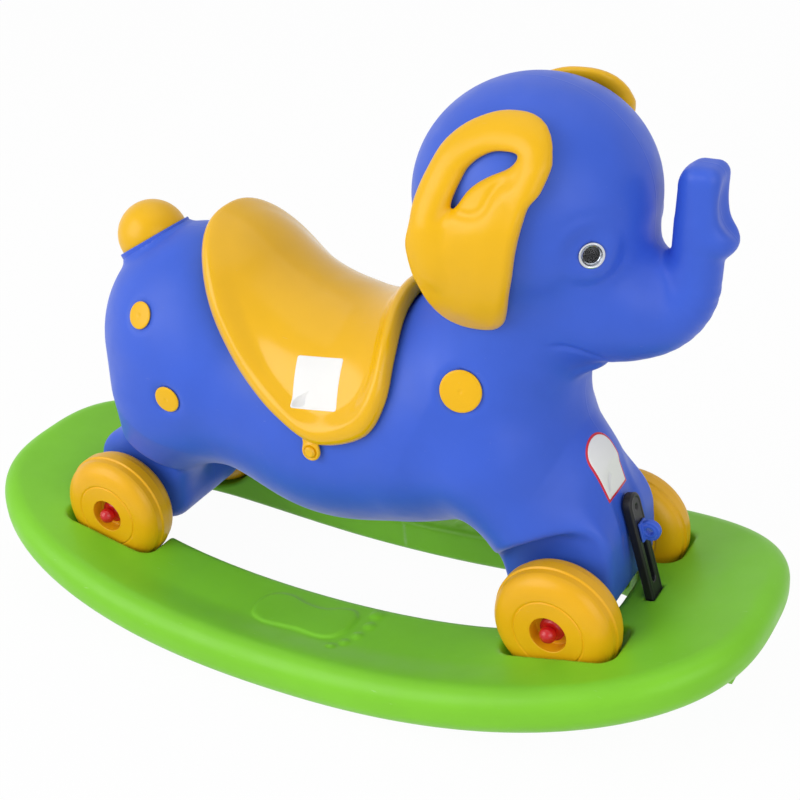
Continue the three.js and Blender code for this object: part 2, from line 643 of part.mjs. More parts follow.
// Tail: a ball whose neck is pressed into the collar of the rump
const tailSeat = new THREE.Vector3(tailCollar.x, 0, tailCollar.z).addScaledVector(tailAxis, tailCollar.height);

function tailGeometry() {
  const cutAngle = -Math.asin(tail.sunk / tail.radius);
  const ball = arc(tail.radius, 0, tail.sunk + touchGap, cutAngle, Math.PI / 2, tail.ballSteps);
  ball[ball.length - 1][0] = 0;
  const points = [
    [0, -tail.neckLength], [tail.neckRadius, -tail.neckLength], [tail.neckRadius, touchGap], ...ball,
  ];
  return placed(turned(points, sides.tail), alongDirection(tailSeat, tailAxis));
}

addPiece("tail_ball", tailGeometry(), earYellow);
for (const [radius, from, to] of [
  [tail.neckRadius + touchGap, -tail.neckLength - touchGap, overrun], [tail.radius + runningGap, 0, tail.radius],
]) {
  const [low, high] = [from, to].map((along) => tailSeat.clone().addScaledVector(tailAxis, along));
  bodyCuts.push(rodTool(radius, low, high, sides.tail));
}

// Saddle: a padded leaf that drapes over the back, with a rounded rim and a raised rear
function saddlePoint(x, angle, offset) {
  const start = new THREE.Vector3(x, 0, saddle.axisZ);
  const direction = new THREE.Vector3(0, -Math.sin(angle), Math.cos(angle));
  return skinAlong(start, direction, offset, 2 * grid.reach);
}

function saddleOutline() {
  const half = saddleOutlineShares.map(([along, round]) => new THREE.Vector3(along, round, 0));
  const whole = [...half, ...half.slice(1, -1).reverse().map((p) => new THREE.Vector3(p.x, -p.y, 0))];
  const curve = new THREE.CatmullRomCurve3(whole, true, "centripetal");
  return curve.getSpacedPoints(saddle.spokes).slice(0, saddle.spokes);
}

// How far the raised rear comes up at a place, from 0 to 1
function cantleShare(x, angle) {
  const t = Math.min(Math.max((saddle.cantleFrom - x) / (saddle.cantleFrom - saddle.cantleTo), 0), 1);
  return t * t * (3 - 2 * t) * Math.max(Math.cos(angle), 0) ** 2;
}

// Rings of the saddle from its middle out to the edge and back underneath: share of the way out, padding
const saddleSeatShares = [0.3, 0.58, 0.74];
const saddleRimShares = [0.84, 0.93];
const saddleEdgeShare = 0.985;
const saddleUnderShares = [1, 0.9, 0.78, 0.64, 0.48, 0.3, 0.14];

function saddleSolid() {
  const outline = saddleOutline();
  const points = [];
  const centre = saddle.centreShare;
  const ring = (share, heightAt) => outline.map((p) => {
    const x = saddle.rearX + saddle.length * (centre + (p.x - centre) * share);
    const angle = saddle.flapAngle * p.y * share;
    points.push(saddlePoint(x, angle, heightAt(x, angle)));
    return points.length - 1;
  });
  const middleX = saddle.rearX + saddle.length * centre;
  const seatAt = (x, angle) => {
    const rise = cantleShare(x, angle);
    return saddle.seatHeight + (saddle.rimHeight - saddle.seatHeight + saddle.cantleHeight) * rise;
  };
  points.push(saddlePoint(middleX, 0, seatAt(middleX, 0)));
  const rings = saddleSeatShares.map((share) => ring(share, seatAt));
  const rimLift = saddle.cantleHeight;
  const edgeLift = saddle.cantleHeight * saddle.edgeLiftShare;
  rings.push(ring(saddleRimShares[0], (x, angle) => saddle.rimHeight + rimLift * cantleShare(x, angle)));
  rings.push(ring(saddleRimShares[1], (x, angle) => saddle.rimHeight + edgeLift * cantleShare(x, angle)));
  rings.push(ring(saddleEdgeShare, () => saddle.edgeHeight));
  for (const share of saddleUnderShares) rings.push(ring(share, () => saddle.fit));
  points.push(saddlePoint(middleX, 0, saddle.fit));
  const last = points.length - 1;
  const n = outline.length;
  const index = [];
  for (let i = 0; i < n; i += 1) {
    const j = (i + 1) % n;
    index.push(0, rings[0][i], rings[0][j]);
    for (let r = 1; r < rings.length; r += 1) {
      index.push(rings[r - 1][i], rings[r][j], rings[r - 1][j]);
      index.push(rings[r - 1][i], rings[r][i], rings[r][j]);
    }
    index.push(rings[rings.length - 1][i], last, rings[rings.length - 1][j]);
  }
  return solidOf(indexedGeometry(points.flatMap((p) => [p.x, p.y, p.z]), index));
}

function saddleTab() {
  const centre = saddlePoint(saddle.tabX, saddle.tabAngle, saddle.fit);
  const out = slopeAt(bodyForm, centre).normalize();
  const frame = alongDirection(centre, out);
  const up = new THREE.Vector3(0, 0, 1).addScaledVector(out, -out.z).normalize();
  const disc = placed(new THREE.CylinderGeometry(saddle.tabRadius, saddle.tabRadius, saddle.tabThickness, sides.spot)
    .translate(0, saddle.tabThickness / 2, 0), frame);
  const tongue = new THREE.BoxGeometry(saddle.tabWidth, saddle.tabThickness, saddle.tabRise)
    .translate(0, saddle.tabThickness / 2, saddle.tabRise / 2);
  const across = new THREE.Vector3().crossVectors(out, up);
  const tongueFrame = new THREE.Matrix4().makeBasis(across, out, up).setPosition(centre);
  const hole = rodTool(plug.shankRadius + touchGap,
    centre.clone().addScaledVector(out, -overrun), centre.clone().addScaledVector(out, overrun));
  return { centre, out, solid: solidOf(disc).add(solidOf(placed(tongue, tongueFrame))), hole };
}

const tab = saddleTab();
const tabMirror = (solid) => solidOf(mirrored(geometryOf(solid)));
addPiece("saddle", geometryOf(saddleSolid().add(tab.solid).add(tabMirror(tab.solid))
  .subtract(tab.hole).subtract(tabMirror(tab.hole))), saddleYellow);

function plugGeometry() {
  const foot = saddle.tabThickness + touchGap;
  const points = [
    [0, -plug.shankLength], [plug.shankRadius, -plug.shankLength], [plug.shankRadius, foot],
    [plug.headRadius, foot],
    ...plugCrownShares.map(([r, h]) => [plug.headRadius * r, foot + plug.headHeight * h]),
  ];
  return placed(turned(points, sides.cap), alongDirection(tab.centre, tab.out));
}

const plugShape = plugGeometry();
cutBodyBothSides(rodTool(plug.shankRadius + touchGap,
  tab.centre.clone().addScaledVector(tab.out, -plug.shankLength - touchGap), tab.centre));
bothSides((side, keep) => addPiece(`saddle_plug_${side}`, keep(plugShape), saddleYellow));

// Ears: a lobe with a thick grip hoop over an opening, dished round the head, on a peg in its side
function earPoint([along, up]) {
  return new THREE.Vector3(along * ear.reach, up * ear.rise, 0);
}

function earGeometry() {
  const path = new THREE.CatmullRomCurve3(hoopShares.map(earPoint), false, "centripetal");
  const ring = new THREE.Shape().absarc(0, 0, ear.hoopRadius, 0, 2 * Math.PI, false);
  const hoop = new THREE.ExtrudeGeometry(ring, {
    steps: ear.steps, curveSegments: sides.hoop, bevelEnabled: false, extrudePath: path,
  });
  const edge = new THREE.CatmullRomCurve3(lobeShares.map(earPoint), true, "centripetal")
    .getSpacedPoints(sides.lobe).slice(0, sides.lobe).map((p) => new THREE.Vector2(p.x, p.y));
  const lobe = new THREE.ExtrudeGeometry(new THREE.Shape(edge), {
    depth: 2 * (ear.lobeHalf - ear.bevel), bevelEnabled: true, bevelThickness: ear.bevel, bevelSize: ear.bevel,
    bevelOffset: -ear.bevel, bevelSegments: 1, curveSegments: 1,
  }).translate(0, 0, ear.bevel - ear.lobeHalf);
  const flatHoop = solidOf(hoop).scale([1, 1, ear.hoopFlat]);
  return flatHoop.add(solidOf(lobe)).refineToLength(ear.facet).warp((p) => {
    p[2] -= (p[1] - ear.dishUp) ** 2 / (2 * ear.dishRadius);
  });
}

const earFrame = new THREE.Matrix4().makeRotationX(Math.PI / 2).setPosition(ear.x, -ear.standoff, ear.z);
const pegAt = new THREE.Vector3(ear.x + ear.pegX, -ear.standoff, ear.z + ear.pegZ);
const pegSeat = flankSeat(pegAt.x, pegAt.z);
const pegEnd = pegSeat.point.clone().add(new THREE.Vector3(0, ear.pegDepth, 0));
const peg = rodTool(ear.pegRadius, pegAt, pegEnd);
const earShell = solidOf(placed(geometryOf(earGeometry()), earFrame));
const earSolid = earShell.add(peg);
cutBodyBothSides(earShell.translate([0, ear.seatGap, 0]));
cutBodyBothSides(rodTool(ear.pegRadius + touchGap, pegAt, pegEnd.clone().add(new THREE.Vector3(0, touchGap, 0))));
bothSides((side, keep) => addPiece(`ear_${side}`, keep(geometryOf(earSolid)), earYellow));

// Strap latch: leans forward by its slope, slides in a channel of the chest, foot in the rocker's pocket
const strapDown = new THREE.Vector3(Math.sin(latch.lean), 0, -Math.cos(latch.lean));
const strapOut = new THREE.Vector3(Math.cos(latch.lean), 0, Math.sin(latch.lean));
const strapFrame = new THREE.Matrix4().makeBasis(new THREE.Vector3(0, 1, 0), strapDown, strapOut.clone().negate())
  .setPosition(latch.topX, 0, latch.topZ);

function strapOutline(width, length, shape) {
  const half = width / 2;
  shape.moveTo(-half, half);
  shape.absarc(0, half, half, Math.PI, 2 * Math.PI, false);
  shape.lineTo(half, length);
  shape.lineTo(-half, length);
  shape.closePath();
  return shape;
}

function strapSolid() {
  const shape = strapOutline(latch.width, latch.length, new THREE.Shape());
  const slot = new THREE.Path();
  const half = latch.slotWidth / 2;
  const [top, bottom] = [latch.slotDrop + half, latch.slotDrop + latch.slotLength - half];
  slot.absarc(0, top, half, Math.PI, 2 * Math.PI, false);
  slot.absarc(0, bottom, half, 0, Math.PI, false);
  slot.closePath();
  shape.holes.push(slot);
  const strap = new THREE.ExtrudeGeometry(shape, {
    depth: latch.thickness, bevelEnabled: false, curveSegments: sides.strap,
  });
  return placed(strap, strapFrame);
}

addPiece("latch_bolt", strapSolid(), strapBlack);

function strapChannel({ side, behind, ahead, from, to }) {
  const depth = latch.thickness + ahead + behind;
  const channel = new THREE.BoxGeometry(latch.width + 2 * side, to - from, depth)
    .translate(0, (from + to) / 2, depth / 2 - ahead);
  return solidOf(placed(channel, strapFrame));
}

bodyCuts.push(strapChannel({
  side: latch.bedGap, behind: runningGap, ahead: latch.thickness,
  from: -latch.travel - overrun, to: latch.length,
}));

// Eye peg: ring, flange and a shank that passes through the strap's slot into the chest
function towEyeSolid() {
  const shape = new THREE.Shape();
  shape.absarc(0, 0, towEye.ringRadius, 0, 2 * Math.PI, false);
  shape.holes.push(new THREE.Path().absarc(0, 0, towEye.holeRadius, 0, 2 * Math.PI, true));
  const ring = new THREE.ExtrudeGeometry(shape, {
    depth: towEye.thickness, bevelEnabled: false, curveSegments: sides.strap,
  }).translate(0, 0, -towEye.thickness / 2);
  const at = new THREE.Vector3(latch.topX, 0, latch.topZ).addScaledVector(strapDown, towEye.drop);
  const ringCentre = at.clone().addScaledVector(strapOut, towEye.ahead);
  const upright = new THREE.Matrix4().makeRotationX(Math.PI / 2).setPosition(ringCentre);
  const plate = new THREE.BoxGeometry(towEye.flangeWidth, towEye.flangeHeight, towEye.flangeThickness)
    .translate(0, towEye.drop, -touchGap - towEye.flangeThickness / 2);
  const behind = new THREE.BoxGeometry(latch.width, latch.length, latch.thickness)
    .translate(0, latch.length / 2, latch.thickness / 2 - touchGap);
  const shankEnd = at.clone().addScaledVector(strapOut, -latch.thickness - towEye.shankLength);
  const shankTop = at.clone().addScaledVector(strapOut, touchGap + towEye.flangeThickness / 2);
  const shank = rodTool(towEye.shankRadius, shankEnd, shankTop);
  const holeEnd = shankEnd.clone().addScaledVector(strapOut, -touchGap);
  bodyCuts.push(rodTool(towEye.shankRadius + touchGap, holeEnd, at));
  return solidOf(placed(ring, upright)).subtract(solidOf(placed(behind, strapFrame)))
    .add(solidOf(placed(plate, strapFrame))).add(shank);
}

addPiece("tow_eye", geometryOf(towEyeSolid()), bodyBlue);

// Body: the skin of the whole form, with every seat cut into it
function bodySolid() {
  const rearEnd = Math.min(rump.x - rump.long, rearBlock.x - rearBlock.halfLength);
  const underside = Math.min(rearBlock.z - rearBlock.halfHeight, frontBlock.z - frontBlock.halfHeight);
  const xs = gridLines(rearEnd - grid.margin, [
    { to: chest.frontX + chest.frontRadius + grid.head, step: grid.coarse },
    { to: lip.x + lip.long + grid.margin, step: grid.fine },
  ]);
  const halfYs = gridLines(0, [
    { to: tip.halfWidth + grid.fine, step: grid.fine },
    { to: grid.reach, step: grid.across },
  ]);
  const ys = [...halfYs.slice(1).reverse().map((y) => -y), ...halfYs];
  const zs = gridLines(underside - grid.margin, [
    { to: chin.z, step: grid.coarse },
    { to: skull.z + skull.tall + grid.margin, step: grid.head },
  ]);
  let solid = solidOf(skinOf(bodyForm, xs, ys, zs));
  for (const cut of bodyCuts) solid = solid.subtract(cut);
  return solid;
}

addPiece("elephant_body", geometryOf(bodySolid()), bodyBlue);

// Rocker: an oval ring lofted from the hole's edge to the outline, bent along its length
function ovalPoint(angle, halfLength, halfWidth, squareness) {
  const [c, s] = [Math.cos(angle), Math.sin(angle)];
  const power = 2 / squareness;
  return [
    halfLength * Math.sign(c) * Math.abs(c) ** power,
    halfWidth * Math.sign(s) * Math.abs(s) ** power,
  ];
}

function bendAt(x) {
  return x ** 2 / (2 * rocker.bendRadius) - rocker.footDepth;
}

// The deck is dished in the middle and level with the rim beyond the wheels
function dishAt(x) {
  return rocker.dish * Math.max(0, 1 - (x / rocker.dishHalfLength) ** 2);
}

// Section of the ring from the hole's edge round the rim and back over the deck
function ringSection(width, dish) {
  const rim = rocker.rimRadius;
  const middle = rocker.height / 2;
  const edge = rocker.edgeRadius;
  const rimPoints = rimTurns.map((t) => [
    width - rim + rim * Math.cos(t * Math.PI), middle + middle * Math.sin(t * Math.PI),
  ]);
  return [
    [edge, 0], [width - rim, 0],
    ...rimPoints,
    [width - rim * deckShares.rise, rocker.height - dish * deckShares.riseDish],
    [width * deckShares.middle, rocker.height - dish],
    [edge, rocker.height - dish], [0, rocker.height - dish - edge], [0, edge],
  ];
}

function rockerRing() {
  const points = [];
  const rows = [];
  for (let i = 0; i < rocker.stations; i += 1) {
    const angle = (2 * Math.PI * (i + 0.5)) / rocker.stations;
    const [ox, oy] = ovalPoint(angle, rocker.halfLength, rocker.halfWidth, rocker.squareness);
    const [ix, iy] = ovalPoint(angle, rocker.holeHalfLength, rocker.holeHalfWidth, rocker.holeSquareness);
    const width = Math.hypot(ox - ix, oy - iy);
    rows.push(ringSection(width, dishAt((ox + ix) / 2)).map(([across, up]) => {
      const share = across / width;
      const x = ix + (ox - ix) * share;
      points.push([x, iy + (oy - iy) * share, up + bendAt(x)]);
      return points.length - 1;
    }));
  }
  const index = [];
  rows.forEach((row, i) => {
    const next = rows[(i + 1) % rows.length];
    row.forEach((_, j) => {
      const k = (j + 1) % row.length;
      index.push(row[j], next[k], row[k], row[j], next[j], next[k]);
    });
  });
  return solidOf(indexedGeometry(points.flat(), index));
}

// A wheel well: a trough that follows the wheel, open to the hole, with rounded outer corners
function wellTool(axleX, side) {
  const radius = wheel.radius + well.clearance;
  const centreZ = axle.height - touchGap + well.clearance;
  const shape = new THREE.Shape();
  shape.absarc(0, 0, radius, Math.PI, 2 * Math.PI, false);
  shape.lineTo(radius, radius);
  shape.lineTo(-radius, radius);
  shape.closePath();
  const inner = rocker.holeHalfWidth - rocker.edgeRadius - overrun;
  const outer = wheel.outerFace + well.sideGap;
  const trough = new THREE.ExtrudeGeometry(shape, {
    depth: outer - inner, bevelEnabled: false, curveSegments: well.facets,
  });
  const frame = new THREE.Matrix4().makeRotationX(Math.PI / 2)
    .setPosition(axleX, side > 0 ? outer : -inner, centreZ);
  return solidOf(placed(trough, frame));
}

// Block under each end that stops the rocker from tipping over
function stopSolid(end) {
  const x = rocker.halfLength - stopBlock.inset;
  const stop = new THREE.BoxGeometry(stopBlock.length, stopBlock.width, rocker.height / 2 + stopBlock.drop)
    .translate(0, 0, (rocker.height / 2 - stopBlock.drop) / 2);
  const tilt = new THREE.Matrix4().makeRotationY(-end * Math.atan(x / rocker.bendRadius));
  return solidOf(placed(stop, tilt.setPosition(end * x, 0, bendAt(x))));
}

function rockerSolid() {
  let solid = rockerRing().trimByPlane([0, 0, 1], 0).add(stopSolid(-1)).add(stopSolid(1));
  for (const axleX of [axle.frontX, axle.rearX])
    for (const side of [-1, 1]) solid = solid.subtract(wellTool(axleX, side));
  return solid.subtract(strapChannel({
    side: latch.pocketGap, behind: latch.pocketGap, ahead: latch.pocketGap,
    from: 0, to: latch.length + latch.pocketGap,
  }));
}

addPiece("rocker", geometryOf(rockerSolid()), rockerGreen);

export default elephant;
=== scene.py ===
"""Looks of the ride-on rocking elephant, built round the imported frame.

Shapes are worked out in millimetres and turned to metres when a mesh is made.
The body, the ears and the rocker are smooth forms that flow together, drawn as one fine skin each.
"""
import math
from itertools import product

import bpy
import numpy as np
from mathutils import Matrix, Vector
from mathutils.bvhtree import BVHTree


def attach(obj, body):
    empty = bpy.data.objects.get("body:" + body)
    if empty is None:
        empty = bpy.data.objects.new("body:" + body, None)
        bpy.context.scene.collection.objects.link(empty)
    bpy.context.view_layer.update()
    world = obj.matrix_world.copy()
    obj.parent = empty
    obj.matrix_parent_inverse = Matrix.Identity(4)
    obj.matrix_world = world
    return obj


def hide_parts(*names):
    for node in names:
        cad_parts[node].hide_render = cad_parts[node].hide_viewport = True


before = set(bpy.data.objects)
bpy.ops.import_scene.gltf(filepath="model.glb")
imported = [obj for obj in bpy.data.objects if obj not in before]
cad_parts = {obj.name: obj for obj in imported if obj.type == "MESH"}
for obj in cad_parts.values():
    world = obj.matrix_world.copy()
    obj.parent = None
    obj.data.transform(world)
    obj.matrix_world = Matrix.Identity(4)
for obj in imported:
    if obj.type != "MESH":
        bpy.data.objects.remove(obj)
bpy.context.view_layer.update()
scene = bpy.context.scene

MM = 0.001

# ---- sizes shared with the solids
WHEEL_RADIUS, WHEEL_WIDTH = 58, 45
AXLE_X = {"front": 245, "rear": -239}
AXLE_Z = 87
BODY_HALF = 56
WHEEL_INNER = 56.5
WHEEL_OUTER = 106.5
STRAP_TOP = np.array([280.5, 0, 177])
STRAP_LEAN = 0.24
STRAP_LENGTH = 110
STRAP_DOWN = np.array([math.sin(STRAP_LEAN), 0, -math.cos(STRAP_LEAN)])
STRAP_OUT = np.array([math.cos(STRAP_LEAN), 0, math.sin(STRAP_LEAN)])
COLLAR_TILT, COLLAR_HEIGHT = 0.52, 36
COLLAR_AXIS = np.array([-math.sin(COLLAR_TILT), 0, math.cos(COLLAR_TILT)])
EYE_X, EYE_Z, EYE_RADIUS = 272, 424, 10.6

# ---- sizes fitted to the photograph
COLLAR_AT = np.array([-194.0, 0, 321.0])
COLLAR_RADIUS, COLLAR_LIP, COLLAR_BORE, COLLAR_DEPTH = 36.6, 3, 34.9, 7
DOTS = {"rump_dot_upper": (-171, 311, 13), "rump_dot_lower": (-141, 236, 13),
        "shoulder_dot": (160, 293, 18.5)}  # x, z, radius
CHEEK_OUT = np.array([0.36, -0.85, 0.38])  # the way that the near side of the head faces

# An egg is its middle x and z, then half its length, width and height
RUMP = (-155, 253, 110, 100, 116)
BELLY = (-8, 202, 117, 96, 101)
SKULL = (197, 444, 102, 101, 96)
CHEEK = (253, 365, 59, 58, 57)
THROAT = (224, 303, 34, 26, 11)
TRUNK_LIP = (352, 424, 14, 17, 15)
NOSTRIL = (371, 452, 21, 20, 27)
# A limb is a point and a radius for each end
BACK = ((-108, 0, 224), 86, (81, 0, 216), 98)
CHEST = ((114, 0, 237), 89, (214, 0, 189), 53.5)
NECK = ((152, 0, 265), 80, (185, 0, 363), 71)
TRUNK_ROOT = ((262, 0, 382), 26, (322, 0, 387), 19.5)
# A leg is its limb, and its foot's middle x and z, half length and height, corner and edge
LEGS = ((((-182, 41, 195), 54, (-224, 35, 114), 35), (-234, 103, 53, 46, 34, 16)),
        (((170, 47, 208), 44, (227, 40, 119), 42), (231.5, 119, 49, 57, 35, 10)))
# A soft box is its middle x and z, half its length, width and height, and its rounding
TRUNK_TIP = (339, 450, 15, 19, 33, 10)
TORSO_BLEND, FOOT_BLEND, LEG_BLEND, HEAD_BLEND, TRUNK_BLEND = 40, 25, 34, 26, 12
ROOT_BLEND, TIP_BLEND, NOSTRIL_BLEND, SMALL_BLEND = 10, 8, 7, 8
ARCH_RADIUS, ARCH_ROUND, ARCH_BLEND = 75, 10, 9

# The trunk curls up along an arc, thinner and thinner, and then stands up to its tip
CURL_X, CURL_Z, CURL_RADIUS = 276, 389, 77
CURL_THIN, CURL_SWELL, CURL_FROM, CURL_TO = 20.5, 26.5, -6, 92
RISE_TO_TIP = [(335.5, 435, 21), (333, 464, 16)]


# ---- smooth forms
def smooth_min(a, b, k):
    h = np.maximum(k - np.abs(a - b), 0) / k
    return np.minimum(a, b) - h * h * k / 4


def smooth_max(a, b, k):
    return -smooth_min(-a, -b, k)


def round_max(a, b, r):
    """What two forms share, its edge rounded to radius r."""
    qa, qb = a + r, b + r
    return np.minimum(np.maximum(qa, qb), 0) + np.hypot(np.maximum(qa, 0), np.maximum(qb, 0)) - r


def step_up(t, a, b):
    s = np.clip((t - a) / (b - a), 0, 1)
    return s * s * (3 - 2 * s)


def egg(x, y, z, cx, cz, lx, ly, lz):
    u, v, w = (x - cx) / lx, y / ly, (z - cz) / lz
    reach = np.sqrt(u * u + v * v + w * w)
    slope = np.sqrt((u / lx) ** 2 + (v / ly) ** 2 + (w / lz) ** 2)
    return reach * (reach - 1) / np.maximum(slope, 1e-9)


def to_segment(p, a, b):
    """Where a segment from a to b is nearest, from 0 to 1, and the squared distance to it."""
    d = [q - o for o, q in zip(a, b)]
    along = sum((v - o) * e for v, o, e in zip(p, a, d)) / max(sum(e * e for e in d), 1e-9)
    t = np.clip(along, 0, 1)
    return t, sum((v - o - t * e) ** 2 for v, o, e in zip(p, a, d))


def limb(x, y, z, a, ra, b, rb):
    t, gap = to_segment((x, y, z), a, b)
    return np.sqrt(gap) - ra - (rb - ra) * t


def block(x, y, z, cx, cz, hx, hz, corner, edge):
    px, pz = np.abs(x - cx) - hx + corner, np.abs(z - cz) - hz + corner
    outline = np.hypot(np.maximum(px, 0), np.maximum(pz, 0)) + np.minimum(np.maximum(px, pz), 0) - corner
    return round_max(outline, np.abs(y) - BODY_HALF, edge)


def soft_box(x, y, z, cx, cz, hx, hy, hz, r):
    qx, qy, qz = np.abs(x - cx) - hx + r, np.abs(y) - hy + r, np.abs(z - cz) - hz + r
    out = np.sqrt(np.maximum(qx, 0) ** 2 + np.maximum(qy, 0) ** 2 + np.maximum(qz, 0) ** 2)
    return out + np.minimum(np.maximum(np.maximum(qx, qy), qz), 0) - r


def torso(x, y, z):
    d = egg(x, y, z, *RUMP)
    for form, size in ((limb, BACK), (egg, BELLY), (limb, CHEST), (limb, NECK)):
        d = smooth_min(d, form(x, y, z, *size), TORSO_BLEND)
    for leg, foot in LEGS:
        d = smooth_min(d, smooth_min(limb(x, y, z, *leg), block(x, y, z, *foot), FOOT_BLEND), LEG_BLEND)
    for cx in AXLE_X.values():
        hollow = smooth_max(np.hypot(x - cx, z - AXLE_Z) - ARCH_RADIUS, WHEEL_INNER - y, ARCH_ROUND)
        d = smooth_max(d, -hollow, ARCH_BLEND)
    return d


CURL = [(t, CURL_THIN + CURL_SWELL * step_up(t, CURL_FROM, CURL_TO)) for t in range(90, -1, -9)]
TRUNK = [(CURL_X + (CURL_RADIUS - r) * math.cos(math.radians(t)),
          CURL_Z - (CURL_RADIUS - r) * math.sin(math.radians(t)), r) for t, r in CURL] + RISE_TO_TIP


def head(x, y, z):
    d = smooth_min(egg(x, y, z, *SKULL), egg(x, y, z, *CHEEK), HEAD_BLEND)
    trunk = np.inf
    for (ax, az, ar), (bx, bz, br) in zip(TRUNK, TRUNK[1:]):
        trunk = np.minimum(trunk, limb(x, y, z, (ax, 0, az), ar, (bx, 0, bz), br))
    trunk = smooth_min(trunk, limb(x, y, z, *TRUNK_ROOT), ROOT_BLEND)
    trunk = smooth_min(trunk, soft_box(x, y, z, *TRUNK_TIP), TIP_BLEND)
    trunk = smooth_min(trunk, egg(x, y, z, *TRUNK_LIP), TIP_BLEND)
    trunk = smooth_max(trunk, -egg(x, y, z, *NOSTRIL), NOSTRIL_BLEND)
    return smooth_min(d, trunk, TRUNK_BLEND)


def collar(x, y, z):
    """The tail's collar, with the height along its axis and the distance from it."""
    along = (x - COLLAR_AT[0]) * COLLAR_AXIS[0] + (z - COLLAR_AT[2]) * COLLAR_AXIS[2]
    across = np.hypot((x - COLLAR_AT[0]) * COLLAR_AXIS[2] - (z - COLLAR_AT[2]) * COLLAR_AXIS[0], y)
    return round_max(across - COLLAR_RADIUS, np.abs(along) - COLLAR_HEIGHT + COLLAR_LIP, 1.2), along, across


def plain_body(x, y, z):
    y = np.abs(y)
    d = smooth_min(torso(x, y, z), head(x, y, z), HEAD_BLEND)
    d = smooth_min(d, egg(x, y, z, *THROAT), SMALL_BLEND)
    return smooth_min(d, collar(x, y, z)[0], SMALL_BLEND)


def slope(form, p, h=0.5):
    return np.stack([(form(*(p + step).T) - form(*(p - step).T)) / (2 * h) for step in h * np.eye(3)], -1)


def unit(v):
    return v / np.linalg.norm(v, axis=-1, keepdims=True)


SKIN_REACH, HALVINGS = 264.0, 30


def skin_along(start, direction, offset=0.0):
    """Where lines from inside the body come out of it, lifted off by an offset."""
    start, direction = np.atleast_2d(start), np.atleast_2d(direction)
    low, high = np.zeros(len(start)), np.full(len(start), SKIN_REACH)
    for _ in range(HALVINGS):
        middle = (low + high) / 2
        p = start + direction * middle[:, None]
        inside = plain_body(*p.T) < offset
        low, high = np.where(inside, middle, low), np.where(inside, high, middle)
    return start + direction * low[:, None]


def flank_seat(x, z):
    """A point on the near flank and the way out of the skin there."""
    point = skin_along((x, 0, z), (0, -1, 0))[0]
    return point, unit(slope(plain_body, point))


DOT_SEATS = {name: flank_seat(x, z) for name, (x, z, _) in DOTS.items()}
EYE_TURN = 0.9
EYE_SEAT = flank_seat(EYE_X, EYE_Z)
EYE_SEAT = (EYE_SEAT[0], unit(EYE_SEAT[1] + EYE_TURN * CHEEK_OUT))


def over_seat(seat, x, side, z):
    """Height over a seat of the near flank, and distance from its axis."""
    point, out = seat
    rel = x - point[0], -side - point[1], z - point[2]
    along = sum(a * b for a, b in zip(rel, out))
    return along, np.sqrt(np.maximum(sum(a ** 2 for a in rel) - along ** 2, 0))


def over_strap(x, z):
    """Distance down along the strap and out of its face, for an offset from its top."""
    return x * STRAP_DOWN[0] + z * STRAP_DOWN[2], x * STRAP_OUT[0] + z * STRAP_OUT[2]


FADE = 0.08


def furrow(x, z, path, width, depth):
    """A soft groove over a flank: how much it takes off at each place, fading out at both ends."""
    best, along = np.full(np.shape(x), np.inf), np.zeros(np.shape(x))
    for i, (a, b) in enumerate(zip(path, path[1:])):
        t, gap = to_segment((x, z), a, b)
        along = np.where(gap < best, (i + t) / (len(path) - 1), along)
        best = np.minimum(best, gap)
    fade = np.sin(math.pi * np.clip(FADE + (1 - 2 * FADE) * along, 0, 1))
    return depth * fade * np.exp(-best / width ** 2)


# Path, width and depth
BROW = [(252, 446), (258, 452), (266, 456), (275, 456), (284, 451), (289, 444)], 4.5, 0.9
MOUTH = [(230, 335), (242, 336), (252, 333), (262, 328), (273, 322)], 2.6, 2.0
CREASES_FROM = 30


def creases(x, side, z):
    """Soft furrows over the eye and between trunk and lip."""
    return np.where(side > CREASES_FROM, furrow(x, z, *BROW) + furrow(x, z, *MOUTH), 0)


DOT_PLAY, DOT_DEPTH, DOT_DISH, DOT_DISH_AT, DOT_DISH_WIDTH, DOT_BLEND = 1.1, 2.6, 1.2, 0.5, 4.0, 1.2
EYE_FLAT, EYE_FLAT_END, EYE_FLAT_REACH, EYE_GRIP, EYE_DEPTH, EYE_EDGE = 11, 30, 20, 1.3, 6, 0.6
SEAT_REACH, SEAT_CORNER, COLLAR_EDGE = 14, 0.5, 0.7
BED_HALF, BED_RISE, BED_DEPTH, BED_CORNER, BED_EDGE = 22, 32, 8.7, 10, 7


